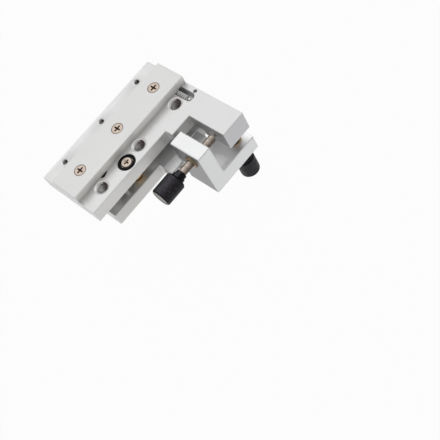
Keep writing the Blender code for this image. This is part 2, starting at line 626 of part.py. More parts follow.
cut(plate, "cut_slot_pocket", obround(slot_x, slot_y0, slot_y1, SLOT_RADIUS,
                                      plate_z1 - SLOT_BLIND_DEPTH, plate_over))
cut(plate, "cut_slot_through", obround(slot_x, spring_post_y - SPRING_POST_TRAVEL,
                                       spring_post_y + SPRING_POST_TRAVEL, SLOT_RADIUS,
                                       through, plate_z1 - SLOT_BLIND_DEPTH / 2))
pin_floor = plate_z1 - SLOT_BLIND_DEPTH - SPRING_PIN_GRIP - SEAT_GAP
cut(plate, "cut_spring_pin_bore",
    hole(post_bore, pin_floor, plate_z1 - SLOT_BLIND_DEPTH, yaw_spring_x, spring_pin_y))
press_bore = PRESS_PAD_RADIUS + SEAT_GAP
press_end = arm_x0 + PRESS_PAD_SINK + PRESS_PAD_THICKNESS + SEAT_GAP
cut(plate, "cut_yaw_pad_recess",
    turned([(0, arm_x0 - CUT_OVERRUN), (press_bore, arm_x0 - CUT_OVERRUN), (press_bore, press_end),
            (0, press_end)], (0, yaw_axis_y, yaw_axis_z), "X"))
press_top = arm_z0 + PRESS_PAD_SINK + PRESS_PAD_THICKNESS + SEAT_GAP
cut(plate, "cut_pitch_pad_recess",
    turned([(0, arm_z0 - CUT_OVERRUN), (press_bore, arm_z0 - CUT_OVERRUN), (press_bore, press_top),
            (0, press_top)], (pitch_axis_x, pitch_axis_y, 0)))

# Raised bar and its three countersunk screws.
bar_z0 = plate_z1 + SEAT_GAP
bar = finish("rail_bar", block(plate_x0, plate_x1, bar_y0, bar_y1, bar_z0, bar_z1),
             BAR_ALUMINIUM, (pivot_x, pivot_y, pivot_z), stage_joint)
add_bevel(bar, EDGE_BEVEL)
sink_floor = bar_z1 - BAR_SCREW_HEAD_HEIGHT
screw_tip = bar_z1 - BAR_SCREW_LENGTH
for index, hole_x in enumerate(hole_xs):
    wide = BAR_SCREW_HEAD_RADIUS + SEAT_GAP
    slim = BAR_SCREW_RADIUS + SEAT_GAP
    cut(bar, "cut_countersink_%d" % (index + 1),
        turned([(0, bar_z0 - CUT_OVERRUN), (slim, bar_z0 - CUT_OVERRUN), (slim, sink_floor - SEAT_GAP),
                (wide, bar_z1 - SEAT_GAP), (wide, bar_z1 + CUT_OVERRUN), (0, bar_z1 + CUT_OVERRUN)],
               (hole_x, bar_y, 0)))
    bar_screw = finish("bar_screw_%d" % (index + 1),
                       turned([(0, screw_tip), (BAR_SCREW_RADIUS, screw_tip), (BAR_SCREW_RADIUS, sink_floor),
                               (BAR_SCREW_HEAD_RADIUS, bar_z1 - RUN_GAP), (BAR_SCREW_HEAD_RADIUS, bar_z1),
                               (0, bar_z1)], (hole_x, bar_y, 0)), SCREW_NICKEL,
                       (hole_x, bar_y, bar_z1), stage_joint)
    cut(bar_screw, "cut_bar_cross_%d" % (index + 1),
        cross_cutter(2 * BAR_SCREW_HEAD_RADIUS * CROSS_SPAN_SHARE, hole_x, bar_y, bar_z1))

# Hard pads in the arm that the adjusters' ball tips press on.
yaw_pad_x0 = arm_x0 + PRESS_PAD_SINK
yaw_pad_x1 = yaw_pad_x0 + PRESS_PAD_THICKNESS
finish("yaw_press_pad", turned([(0, yaw_pad_x0), (PRESS_PAD_RADIUS, yaw_pad_x0), (PRESS_PAD_RADIUS, yaw_pad_x1),
                                (0, yaw_pad_x1)], (0, yaw_axis_y, yaw_axis_z), "X"),
       STEEL, (yaw_pad_x0, yaw_axis_y, yaw_axis_z), stage_joint)
pitch_pad_z0 = arm_z0 + PRESS_PAD_SINK
pitch_pad_z1 = pitch_pad_z0 + PRESS_PAD_THICKNESS
finish("pitch_press_pad", turned([(0, pitch_pad_z0), (PRESS_PAD_RADIUS, pitch_pad_z0),
                                  (PRESS_PAD_RADIUS, pitch_pad_z1), (0, pitch_pad_z1)],
                                 (pitch_axis_x, pitch_axis_y, 0)),
       STEEL, (pitch_axis_x, pitch_axis_y, pitch_pad_z0), stage_joint)

# Yaw spring's post in the base and its pin in the tilting plate.
post_z0 = post_floor + SEAT_GAP
post_z1 = plate_z1 - SPRING_POST_DROP
finish("spring_post", turned([(0, post_z0), (SPRING_PIN_RADIUS, post_z0), (SPRING_PIN_RADIUS, post_z1), (0, post_z1)],
                             (yaw_spring_x, spring_post_y, 0), "Z", FINE_STEPS),
       STEEL, (yaw_spring_x, spring_post_y, post_z0))
pin_z0 = pin_floor + SEAT_GAP
pin_z1 = plate_z1 - SPRING_PIN_DROP
finish("spring_pin", turned([(0, pin_z0), (SPRING_PIN_RADIUS, pin_z0), (SPRING_PIN_RADIUS, pin_z1), (0, pin_z1)],
                            (yaw_spring_x, spring_pin_y, 0), "Z", FINE_STEPS),
       STEEL, (yaw_spring_x, spring_pin_y, pin_z0), stage_joint)

# Pitch spring: an upright coil from the base's pocket to the bar's underside.
coil_z0 = BASE_THICKNESS - PITCH_SPRING_POCKET_DEPTH + SEAT_GAP + PITCH_SPRING_WIRE
coil_z1 = bar_z0 - PITCH_SPRING_TOP_GAP - PITCH_SPRING_WIRE
pitch_points = []
for step in range(PITCH_SPRING_TURNS * COIL_POINTS + 1):
    along = step / (PITCH_SPRING_TURNS * COIL_POINTS)
    angle = 2 * math.pi * PITCH_SPRING_TURNS * along
    pitch_points.append((pitch_spring_x + PITCH_SPRING_RADIUS * math.cos(angle),
                         pitch_spring_y + PITCH_SPRING_RADIUS * math.sin(angle),
                         coil_z0 + (coil_z1 - coil_z0) * along))
tube("pitch_spring", pitch_points, PITCH_SPRING_WIRE, SPRING_STEEL, (pitch_spring_x, pitch_spring_y, coil_z0))
print("pitch_spring least gap mm", least_gap(pitch_points, PITCH_SPRING_WIRE, COIL_POINTS // 2 + 2) / MM)

# Yaw spring: a hook round the plate's pin, a coil along Y and a long hook round the base's post.
hook_radius = SPRING_PIN_RADIUS + SEAT_GAP + YAW_SPRING_WIRE
coil_y0 = spring_pin_y + hook_radius + HOOK_LEAD
coil_y1 = spring_post_y - LONG_HOOK_HALF - LONG_HOOK_RADIUS
yaw_points = []
for step in range(COIL_POINTS):
    angle = -math.pi + math.pi * step / COIL_POINTS
    yaw_points.append((yaw_spring_x + hook_radius * math.cos(angle), spring_pin_y + hook_radius * math.sin(angle),
                       yaw_spring_z))
for step in range(YAW_SPRING_TURNS * COIL_POINTS + 1):
    along = step / (YAW_SPRING_TURNS * COIL_POINTS)
    angle = 2 * math.pi * YAW_SPRING_TURNS * along
    yaw_points.append((yaw_spring_x + YAW_SPRING_RADIUS * math.cos(angle), coil_y0 + (coil_y1 - coil_y0) * along,
                       yaw_spring_z + YAW_SPRING_RADIUS * math.sin(angle)))
for step in range(COIL_POINTS + 1):
    angle = math.pi * step / COIL_POINTS
    yaw_points.append((yaw_spring_x + LONG_HOOK_RADIUS * math.cos(angle),
                       spring_post_y + LONG_HOOK_HALF + LONG_HOOK_RADIUS * math.sin(angle), yaw_spring_z))
yaw_points.append((yaw_spring_x - LONG_HOOK_RADIUS, spring_post_y - LONG_HOOK_HALF, yaw_spring_z))
tube("yaw_spring", yaw_points, YAW_SPRING_WIRE, SPRING_STEEL, (yaw_spring_x, coil_y0, yaw_spring_z), stage_joint)
print("yaw_spring least gap mm", least_gap(yaw_points, YAW_SPRING_WIRE, COIL_POINTS // 2 + 2) / MM)


def adjuster(label, axis, centre, near, far, flange_near, press_face, standoff):
    """One adjuster along +X or +Z, drawn by distances along its axis.

    near and far are the bracket wall's faces on the knob's and the tip's side, flange_near tells
    which of them the bushing's flange seats on, press_face is the pad that the ball tip presses
    on, and standoff is the clear length between the wall and the knob's neck.
    """
    def place(distance):
        spot = list(centre)
        spot["XYZ".index(axis)] = distance
        return spot

    def piece(name, profile, look, origin, parent, steps=ROUND_STEPS, closed=False):
        middle = list(centre)
        middle["XYZ".index(axis)] = 0
        return finish(name, turned(profile, middle, axis, steps, closed), look, place(origin), parent)

    bore = SCREW_RADIUS + RUN_GAP
    if flange_near:
        seat, rim, end = near - SEAT_GAP, near - SEAT_GAP - BUSHING_FLANGE, far
    else:
        seat, rim, end = far + SEAT_GAP, far + SEAT_GAP + BUSHING_FLANGE, near
    piece(label + "_bushing", [(bore, rim), (BUSHING_FLANGE_RADIUS, rim), (BUSHING_FLANGE_RADIUS, seat),
                               (BUSHING_RADIUS, seat), (BUSHING_RADIUS, end), (bore, end)],
          BRASS, seat, None, ROUND_STEPS, True)
    tip = press_face - SEAT_GAP
    ball_middle = tip - TIP_BALL_RADIUS
    screw_end_at = tip - TIP_BALL_PROUD
    joint = empty(label + "_adjuster_joint", place(near))
    cup = TIP_BALL_RADIUS + RUN_GAP
    cup_floor = ball_middle - cup
    neck_top = near - standoff
    knob_top = neck_top - NECK_LENGTH
    knob_end = knob_top - KNOB_LENGTH
    screw_start = neck_top - KNOB_GRIP
    piece(label + "_screw", [(0, screw_start), (SCREW_RADIUS, screw_start), (SCREW_RADIUS, screw_end_at),
                             (cup, screw_end_at), (cup, cup_floor), (0, cup_floor)], STEEL, screw_end_at, joint)
    finish(label + "_tip_ball", turned(ball_profile(TIP_BALL_RADIUS, 0, FINE_STEPS // 2),
                                       place(ball_middle), axis, FINE_STEPS),
           STEEL, place(ball_middle), joint)
    grip = SCREW_RADIUS + RUN_GAP
    grip_floor = screw_start - SEAT_GAP
    mid_neck = (neck_top + knob_top) / 2
    piece(label + "_knob", [(0, knob_end), (KNOB_RADIUS - KNOB_CHAMFER, knob_end),
                            (KNOB_RADIUS, knob_end + KNOB_CHAMFER), (KNOB_RADIUS, knob_top - KNOB_CHAMFER),
                            (KNOB_RADIUS - KNOB_CHAMFER, knob_top), (NECK_RADIUS, knob_top),
                            (NECK_RADIUS, mid_neck), (NECK_RADIUS - NECK_STEP, mid_neck),
                            (NECK_RADIUS - NECK_STEP, neck_top), (grip, neck_top), (grip, grip_floor),
                            (0, grip_floor)], BLACK_KNOB, knob_end, joint)
    print(label, "screw axis", [round(value / MM, 3) for value in place(near)], "knob end",
          round(knob_end / MM, 3), "lever from pivot", round((pivot_y - centre[1]) / MM, 3),
          round((centre[0] - pivot_x) / MM, 3))


adjuster("yaw", "X", (0, yaw_axis_y, yaw_axis_z), post_x0, post_x1, True, yaw_pad_x0,
         YAW_KNOB_STANDOFF)
adjuster("pitch", "Z", (pitch_axis_x, pitch_axis_y, 0), bracket_z0, lower_z1, False, pitch_pad_z0,
         PITCH_KNOB_STANDOFF)
print("pivot mm", [round(value / MM, 3) for value in (pivot_x, pivot_y, pivot_z)])
print("bracket mm", [round(value / MM, 3) for value in (post_x0, post_x1, lower_x1, bracket_y0, bracket_y1,
                                                        bracket_z0, lower_z1, bracket_z1)])
print("plate mm", [round(value / MM, 3) for value in (plate_x0, plate_x1, plate_y0, plate_y1, wide_y0, arm_y0,
                                                      plate_z0, plate_z1, arm_x0, arm_z0)])
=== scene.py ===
import math

import bmesh
import bpy
from mathutils import Matrix, Vector


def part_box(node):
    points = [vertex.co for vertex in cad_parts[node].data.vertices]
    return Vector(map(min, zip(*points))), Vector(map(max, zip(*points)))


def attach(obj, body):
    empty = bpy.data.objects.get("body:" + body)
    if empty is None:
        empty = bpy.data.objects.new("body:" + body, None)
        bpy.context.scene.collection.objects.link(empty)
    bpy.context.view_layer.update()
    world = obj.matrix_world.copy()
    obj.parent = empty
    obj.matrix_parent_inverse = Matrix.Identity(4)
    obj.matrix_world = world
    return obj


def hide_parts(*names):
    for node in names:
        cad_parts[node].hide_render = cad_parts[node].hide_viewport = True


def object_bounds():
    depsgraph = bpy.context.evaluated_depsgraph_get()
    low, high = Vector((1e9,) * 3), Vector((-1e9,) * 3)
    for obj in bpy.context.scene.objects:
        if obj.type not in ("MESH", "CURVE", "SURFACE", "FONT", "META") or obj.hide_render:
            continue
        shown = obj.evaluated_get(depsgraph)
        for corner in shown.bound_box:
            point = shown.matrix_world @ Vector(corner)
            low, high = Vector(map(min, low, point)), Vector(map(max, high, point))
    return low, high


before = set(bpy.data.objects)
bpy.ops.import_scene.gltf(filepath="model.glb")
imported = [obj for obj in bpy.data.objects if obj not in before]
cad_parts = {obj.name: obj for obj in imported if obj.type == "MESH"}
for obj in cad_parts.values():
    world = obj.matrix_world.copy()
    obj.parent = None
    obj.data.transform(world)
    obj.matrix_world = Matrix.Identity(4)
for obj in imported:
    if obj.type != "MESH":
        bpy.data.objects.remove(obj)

cad_low, cad_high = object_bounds()

# View. The photograph's own camera, found from the plate's edges and its hole pitch: a long
# lens that looks down on the stage from beyond its front left corner.
MM = 0.001
eye = Vector((-80.2, -264.9, 315.8)) * MM
gaze = Vector((0.1903, 0.5409, -0.8193)).normalized()
level = gaze.cross(Vector((0.7527, 0.4553, 0.4755))).normalized()


def placed(name, data):
    """A new object in the scene, at the origin."""
    obj = bpy.data.objects.new(name, data)
    bpy.context.scene.collection.objects.link(obj)
    return obj


camera = placed("studio_camera", bpy.data.cameras.new("studio_camera"))
camera.data.sensor_width = 36
camera.data.lens = 73.34
camera.data.clip_start = 0.01
camera.data.dof.use_dof = False
camera.matrix_world = Matrix.Translation(eye) @ Matrix((level, level.cross(gaze), -gaze)).transposed().to_4x4()
bpy.context.scene.camera = camera
bpy.context.scene.view_settings.view_transform = "Standard"


# Studio. A white table just below the lowest knob and white paper all round, which look white to
# the camera and in reflections. A wide soft lamp hangs overhead and behind, a small one beside it.
class Tone:
    """A socket in a node tree that can stand in a sum, also after a number, as in 1 - tone."""

    def __init__(self, bench, socket):
        self.bench, self.socket = bench, socket

    def sum_with(self, kind, first, second):
        return self.bench.node("ShaderNodeMath", {"operation": kind}, {0: first, 1: second})

    def __pow__(self, other):
        return self.sum_with("POWER", self, other)

    def __abs__(self):
        return self.bench.node("ShaderNodeMath", {"operation": "ABSOLUTE"}, {0: self})

    def least(self, other):
        return self.sum_with("MINIMUM", self, other)

    def most(self, other):
        return self.sum_with("MAXIMUM", self, other)

    def held(self):
        return self.most(0.0).least(1.0)

    def over(self, other):
        return self.sum_with("GREATER_THAN", self, other)

    def part(self):
        return self.bench.node("ShaderNodeMath", {"operation": "FRACT"}, {0: self})


for sign, kind in (("add", "ADD"), ("sub", "SUBTRACT"), ("mul", "MULTIPLY"), ("truediv", "DIVIDE")):
    setattr(Tone, "__%s__" % sign, lambda self, other, kind=kind: self.sum_with(kind, self, other))
    setattr(Tone, "__r%s__" % sign, lambda self, other, kind=kind: self.sum_with(kind, other, self))


class Bench:
    """A node tree under work, of a finish or of a shape."""

    def __init__(self, tree):
        self.tree = tree

    def node(self, kind, settings=None, values=None, out=0):
        made = self.tree.nodes.new(kind)
        for key, value in (settings or {}).items():
            setattr(made, key, value)
        for key, value in (values or {}).items():
            self.feed(made.inputs[key], value)
        return Tone(self, made.outputs[out])

    def feed(self, socket, value):
        if isinstance(value, Tone):
            self.tree.links.new(value.socket, socket)
        else:
            socket.default_value = value

    def blend(self, share, first, second):
        colours = [value if isinstance(value, Tone) else (*value, 1) for value in (first, second)]
        return self.node("ShaderNodeMix", {"data_type": "RGBA"}, {0: share, 6: colours[0], 7: colours[1]}, 2)


def paper(name, shade, whiteness):
    """White paper: it shows its own shade and shadow, lifted towards white where it is looked at."""
    made = bpy.data.materials.new(name)
    made.use_nodes = True
    bench = Bench(made.node_tree)
    bench.tree.nodes.remove(bench.tree.nodes["Principled BSDF"])
    path = bench.tree.nodes.new("ShaderNodeLightPath")
    seen = Tone(bench, path.outputs["Is Camera Ray"])
    seen = seen.most(Tone(bench, path.outputs["Is Glossy Ray"]))
    seen = seen.most(Tone(bench, path.outputs["Is Transmission Ray"]))
    sheet = bench.node("ShaderNodeBsdfDiffuse", None, {"Color": (shade, shade, shade, 1)})
    glow = bench.node("ShaderNodeEmission", None, {"Color": (1, 1, 1, 1), "Strength": 1.0})
    mixed = bench.node("ShaderNodeMixShader", None, {0: seen * whiteness, 1: sheet, 2: glow})
    bench.feed(bench.tree.nodes["Material Output"].inputs["Surface"], mixed)
    return made


table_mesh = bpy.data.meshes.new("studio_table")
reach = 3.0
table_z = cad_low.z - 0.1 * MM
table_mesh.from_pydata([(-reach, -reach, table_z), (reach, -reach, table_z), (reach, reach, table_z),
                        (-reach, reach, table_z)], [], [(0, 1, 2, 3)])
table_mesh.materials.append(paper("white_paper", shade=0.92, whiteness=0.96))
placed("studio_table", table_mesh)

room = bpy.data.worlds.new("studio_room")
room.use_nodes = True
walls = Bench(room.node_tree)
sight = walls.tree.nodes.new("ShaderNodeLightPath")
room_light, front_dimming = 0.35, 0.45
shown = Tone(walls, sight.outputs["Is Camera Ray"]).most(Tone(walls, sight.outputs["Is Transmission Ray"]))
towards = walls.node("ShaderNodeSeparateXYZ", None, {0: walls.node("ShaderNodeTexCoord", None, None, 0)}, 1)
open_front = ((0.0 - towards - 0.25) * 1.6).held()
shown = shown.most(Tone(walls, sight.outputs["Is Glossy Ray"]) * (1.0 - front_dimming * open_front))
background = walls.tree.nodes["Background"].inputs
walls.feed(background["Strength"], room_light + shown * (1.0 - room_light))
walls.feed(background["Color"], (1.0, 1.0, 1.0, 1.0))
bpy.context.scene.world = room


def soft_lamp(name, place, size, power):
    """A round lamp with a slightly warm white light, aimed at the stage."""
    lamp = bpy.data.lights.new(name, "AREA")
    lamp.shape = "DISK"
    lamp.size = size
    lamp.energy = power
    lamp.color = (1.0, 0.99, 0.985)
    holder = placed(name, lamp)
    holder.location = place
    holder.rotation_euler = (-Vector(place)).to_track_quat("-Z", "Y").to_euler()


soft_lamp("overhead_lamp", (0.17, 0.49, 0.74), size=0.70, power=0.44)
soft_lamp("small_lamp", (0.10, 0.40, 0.80), size=0.08, power=0.10)


# Base plate. Milled from aluminium plate and clear anodised to a satin. It takes the ball's
# seat, the pockets for pad, spring and stop pin, and three tapped holes in its free end.
FINE = 72


def box_mm(node):
    """The two corners of a plain solid's box, in millimetres."""
    return [[value / MM for value in corner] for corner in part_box(node)]


def pushed(corners, way):
    """A closed block: the outline through the corners, pushed one way. All in millimetres."""
    bm = bmesh.new()
    face = bm.faces.new([bm.verts.new([value * MM for value in corner]) for corner in corners])
    moved = bmesh.ops.extrude_face_region(bm, geom=[face])
    ends = [part for part in moved["geom"] if isinstance(part, bmesh.types.BMVert)]
    bmesh.ops.translate(bm, verts=ends, vec=[value * MM for value in way])
    bmesh.ops.recalc_face_normals(bm, faces=bm.faces)
    return bm


def plate(outline, low, high):
    """A plate sawn to an outline in X and Y."""
    return pushed([(x, y, low) for x, y in outline], (0, 0, high - low))


def break_edges(obj, width):
    chamfer = obj.modifiers.new("broken_edges", "BEVEL")
    chamfer.width, chamfer.segments, chamfer.limit_method = width * MM, 1, "ANGLE"
    chamfer.angle_limit = math.radians(40)


def stock(name, bm, edge=0):
    """A new piece from a worked shape, with its edges broken if a width is given."""
    bmesh.ops.recalc_face_normals(bm, faces=bm.faces)
    mesh = bpy.data.meshes.new(name)
    bm.to_mesh(mesh)
    bm.free()
    obj = placed(name, mesh)
    if edge:
        break_edges(obj, edge)
    return obj


def turned(profile, centre, axis="Z", steps=FINE, closed=False):
    """A lathe shape: (radius, height) pairs in mm turned about an axis through centre."""
    bm = bmesh.new()
    rings = []
    for radius, height in profile:
        count = 1 if radius == 0 else steps
        rings.append([bm.verts.new((radius * math.cos(2 * math.pi * (step + 0.5) / steps) * MM,
                                    radius * math.sin(2 * math.pi * (step + 0.5) / steps) * MM,
                                    height * MM)) for step in range(count)])
    pairs = list(zip(rings, rings[1:])) + ([(rings[-1], rings[0])] if closed else [])
    for first, second in pairs:
        for step in range(steps):
            after = (step + 1) % steps
            corners = []
            for ring, place in ((first, step), (first, after), (second, after), (second, step)):
                vert = ring[place] if len(ring) > 1 else ring[0]
                if vert not in corners:
                    corners.append(vert)
            if len(corners) > 2:
                bm.faces.new(corners)
    turn = {"X": Matrix(((0, 0, 1), (1, 0, 0), (0, 1, 0))), "Y": Matrix(((0, 1, 0), (0, 0, 1), (1, 0, 0))),
            "Z": Matrix.Identity(3)}[axis]
    bmesh.ops.transform(bm, matrix=Matrix.Translation(Vector(centre) * MM) @ turn.to_4x4(), verts=bm.verts)
    bmesh.ops.recalc_face_normals(bm, faces=bm.faces)
    return bm


def drill(radius, low, high, x, y, chamfer=0.0, foot=0.0, slope=1.0):
    """A drill's sweep from low to high, with a countersink at its mouth and, for a way through, its foot."""
    over = high + 1.0
    profile = [(0, low - 1.0 if foot else low)]
    if foot:
        profile += [(radius + foot, low - 1.0), (radius + foot, low), (radius, low + foot)]
    else:
        profile += [(radius, low)]
    if chamfer:
        wide = radius + chamfer
        profile += [(radius, high - chamfer * slope), (wide, high), (wide, over), (0, over)]
    else:
        profile += [(radius, over), (0, over)]
    return turned(profile, (x, y, 0))


def blind(radius, mouth, depth, lip, tip=0.0):
    """A blind bore's outline, countersunk at its mouth, with a drill's tip past its depth."""
    floor = mouth + depth
    return [(0, mouth - 1), (radius + lip, mouth - 1), (radius + lip, mouth), (radius, mouth + lip),
            (radius, floor), (0, floor + tip)]


def slot_sweep(x, y0, y1, radius, low, high):
    """An end mill's sweep along Y."""
    outline = []
    for middle, start in ((y1 - radius, 0), (y0 + radius, math.pi)):
        for step in range(FINE // 2 + 1):
            angle = start + math.pi * step / (FINE // 2)
            outline.append((x + radius * math.cos(angle), middle + radius * math.sin(angle)))
    return plate(outline, low, high)


def mill(obj, *passes, operation="DIFFERENCE"):
    """Cuts each pass's sweeps out of a blank, or joins them to it. Sweeps of one pass don't cross."""
    for number, sweeps in enumerate(passes):
        whole = bmesh.new()
        for sweep in sweeps:
            mesh = bpy.data.meshes.new("sweep")
            sweep.to_mesh(mesh)
            sweep.free()
            whole.from_mesh(mesh)
            bpy.data.meshes.remove(mesh)
        tool = stock("%s_sweep_%d" % (obj.name, number), whole)
        cut = obj.modifiers.new("pass_%d" % number, "BOOLEAN")
        cut.operation = operation
        cut.object = tool
        obj["sweeps"] = list(obj.get("sweeps", [])) + [tool.name]


def plain_mesh(obj):
    """What a piece and its modifiers make, as one plain mesh. The piece and its sweeps are cleared away."""
    mesh = bpy.data.meshes.new_from_object(obj.evaluated_get(bpy.context.evaluated_depsgraph_get()))
    for tool in obj.get("sweeps", []):
        bpy.data.objects.remove(bpy.data.objects[tool], do_unlink=True)
    bpy.data.objects.remove(obj, do_unlink=True)
    return mesh


def smooth(mesh, degrees=30):
    mesh.shade_smooth()
    mesh.set_sharp_from_angle(angle=math.radians(degrees))


def rides(obj, body, slot, *nodes):
    """Fixes a piece to its body, in place of the plain solids that it stands for."""
    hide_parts(*nodes)
    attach(obj, body)


def finished(obj, body, slot, finish, *nodes):
    """The piece as it leaves the workshop: one plain mesh that rides on its body."""
    name = obj.name
    mesh = plain_mesh(obj)
    mesh.name = name
    mesh.materials.clear()
    mesh.materials.append(finish)
    smooth(mesh)
    rides(placed(name, mesh), body, slot, *nodes)


def lathed(node, profile, centre, body, slot, finish, axis="Z", steps=FINE, closed=False):
    """A finished piece that needs the lathe alone."""
    finished(stock(node + "_body", turned(profile, centre, axis, steps, closed)), body, slot, finish, node)


def metal(name, colour, roughness, metallic=1.0):
    """A bare start for a finish: its bench, its shader and its place on the piece in millimetres."""
    made = bpy.data.materials.new(name)
    made.use_nodes = True
    bench = Bench(made.node_tree)
    shader = made.node_tree.nodes["Principled BSDF"]
    shader.inputs["Base Color"].default_value = (*colour, 1)
    shader.inputs["Roughness"].default_value = roughness
    shader.inputs["Metallic"].default_value = metallic
    spot = bench.node("ShaderNodeTexCoord", None, None, 3)
    spot = bench.node("ShaderNodeVectorMath", {"operation": "SCALE"}, {0: spot, "Scale": 1000.0})
    return made, bench, shader, spot


def dress(bench, shader, colour, roughness):
    """Gives a finish the colour and the gloss that change over the piece."""
    bench.feed(shader.inputs["Base Color"], colour)
    bench.feed(shader.inputs["Roughness"], roughness)


def grain(bench, spot, scale, detail=2.0, rough=0.5, stretch=(1, 1, 1)):
    """Noise over the piece, drawn out along its axes by stretch."""
    drawn = bench.node("ShaderNodeMapping", None, {"Vector": spot, "Scale": stretch})
    return bench.node("ShaderNodeTexNoise", None, {"Vector": drawn, "Scale": scale, "Detail": detail,
                                                   "Roughness": rough})


def tinted(bench, share, colour, tint):
    """A colour multiplied by a tint where share is one."""
    return bench.node("ShaderNodeMix", {"data_type": "RGBA", "blend_type": "MULTIPLY"},
                      {0: share, 6: colour, 7: (*tint, 1)}, 2)


def varied(bench, share, colour, *factors):
    """A colour that changes between two multiples of itself."""
    dark, light = (tuple(min(1.0, value * factor) for value in colour) for factor in factors)
    return bench.blend(share, dark, light)


def split(bench, vector):
    """The three parts of a vector."""
    first = bench.node("ShaderNodeSeparateXYZ", None, {0: vector})
    return [Tone(bench, socket) for socket in first.socket.node.outputs]


def way_faced(bench):
    """The way that the surface faces, in the piece's own X, Y and Z."""
    return split(bench, bench.node("ShaderNodeTexCoord", None, None, 1))


def dented(bench, shader, height, strength, depth=0.02):
    """Relief of a fine pattern, its depth in millimetres."""
    bump = bench.node("ShaderNodeBump", None, {"Strength": strength, "Distance": depth * MM, "Height": height})
    bench.feed(shader.inputs["Normal"], bump)


HOLE_PITCH = 25.0


def near_holes(bench, spot, first_x, y, radius):
    """One within a radius of a row of holes at the bench's hole pitch, zero elsewhere."""
    x, across, _ = split(bench, spot)
    half = HOLE_PITCH / 2
    along = ((x - first_x + half) / HOLE_PITCH).part() * HOLE_PITCH - half
    return 1.0 - (along * along + (across - y) * (across - y)).over(radius * radius)


def satin_aluminium(name, colour, roughness, metallic, cutter_marks, wall_painted_light, wall_roughness, edge_painted_light,
                    hole_rows=(), shaded_wells=(), arm_end_painted_shade=(1.0, 1.0, 1.0), minus_x_painted_shade=(1.0, 1.0, 1.0),
                    wall_foot_shade=None, shelf_painted_light=None):
    """Milled and clear anodised: faint cutter lines, an even etched grain and a slow change of tone.

    The long walls were cut by the mill's flank and are rougher, and they take painted light, a tint lighter or
    darker than the tops; some broken edges take painted light too. Tapped holes take painted shade on walls
    facing
    -X and a painted highlight on walls facing +X. A shaded well is painted shade over a stretch along Y: its
    middle, half its length, its radius, the height that it stays below, and its tint. A wall's foot has painted
    shade that fades out from one height to another. A shelf faces up, below a height, and has painted light
    that gets lighter along X. The arm's end face and faces towards -X take tints of painted shade.
    """
    made, bench, shader, spot = metal(name, colour, roughness, metallic)
    facing = way_faced(bench)
    x, y, z = split(bench, spot)
    arm_end_y = -38.0
    arm_end = 1.0 - y.over(arm_end_y)
    across = ((abs(facing[1]) - 0.8) * 6.0).held()
    wall = across * (1.0 - arm_end)
    broken = ((facing[1] * facing[2]) * -2.0).held() ** 2.0
    lines = grain(bench, spot, 1.0, 3.0, stretch=cutter_marks)
    etched = grain(bench, spot, 9.0, 2.0, 0.6)
    slow = grain(bench, spot, 0.06, 2.0)
    rubs = grain(bench, spot, 0.5, 4.0, 0.7, (0.6, 0.6, 0.6))
    tone = 0.45 * lines + 0.25 * etched + 0.3 * slow
    # Long walls: painted light, a tint that makes them lighter or darker than the tops.
    skin = tinted(bench, wall, varied(bench, tone, colour, 0.90, 1.08), wall_painted_light)
    # Painted shade at a wall's foot, fading out upwards.
    if wall_foot_shade:
        foot_z, unshaded_z, foot_shade = wall_foot_shade
        skin = tinted(bench, wall * ((unshaded_z - z) / (unshaded_z - foot_z)).held() ** 1.5, skin,
                      (foot_shade, foot_shade, foot_shade))
    # Painted highlight or painted shade on the slanted faces of edges along X, by the edge tint.
    skin = tinted(bench, broken, skin, edge_painted_light)
    # Tapped holes: painted shade on walls facing -X; a painted highlight, white and fully metallic, on walls
    # facing +X.
    for first_x, row_y, radius in hole_rows:
        sunk = ((0.97 - facing[2]) * 30.0).held() * near_holes(bench, spot, first_x, row_y, radius)
        skin = tinted(bench, (facing[0] * -1.6).held() * sunk, skin, (1.0, 0.95, 0.92))
        painted_glint = (facing[0] * 1.6).held() * sunk
        skin = bench.blend(painted_glint, skin, (0.98, 0.98, 0.98))
        metallic = metallic + (1.0 - metallic) * painted_glint
    # Shelf below a height: painted light, whiter and more metallic towards +X, out of the arm's shade.
    if shelf_painted_light:
        shaded_x, lit_x, under_z = shelf_painted_light
        shelf = ((facing[2] - 0.8) * 6.0).held() * (1.0 - z.over(under_z))
        lighter_share = ((x - shaded_x) / (lit_x - shaded_x)).held()
        skin = bench.blend(shelf * lighter_share, skin, (1.0, 1.0, 1.0))
        metallic = metallic + (1.0 - metallic) * shelf * lighter_share
    # The arm's end face takes a tint of painted shade.
    skin = tinted(bench, across * arm_end, skin, arm_end_painted_shade)
    # Faces towards -X take a tint of painted shade.
    skin = tinted(bench, ((0.0 - facing[0] - 0.8) * 6.0).held(), skin, minus_x_painted_shade)
    # Wells: painted shade inside the spring hole, the notch, the slot and the notch by the arm, below a height.
    for middle_x, middle_y, half_length, radius, below, tint in shaded_wells:
        along = (abs(y - middle_y) - half_length).most(0.0)
        inside = 1.0 - ((x - middle_x) * (x - middle_x) + along * along).over(radius * radius)
        skin = tinted(bench, inside * (1.0 - z.over(below)), skin, (tint, tint, tint))
    dress(bench, shader, skin, roughness - 0.05 + 0.06 * etched + 0.05 * rubs + wall_roughness * wall)
    bench.feed(shader.inputs["Metallic"], metallic)
    dented(bench, shader, 0.6 * etched + 0.4 * lines, 0.10)
    return made


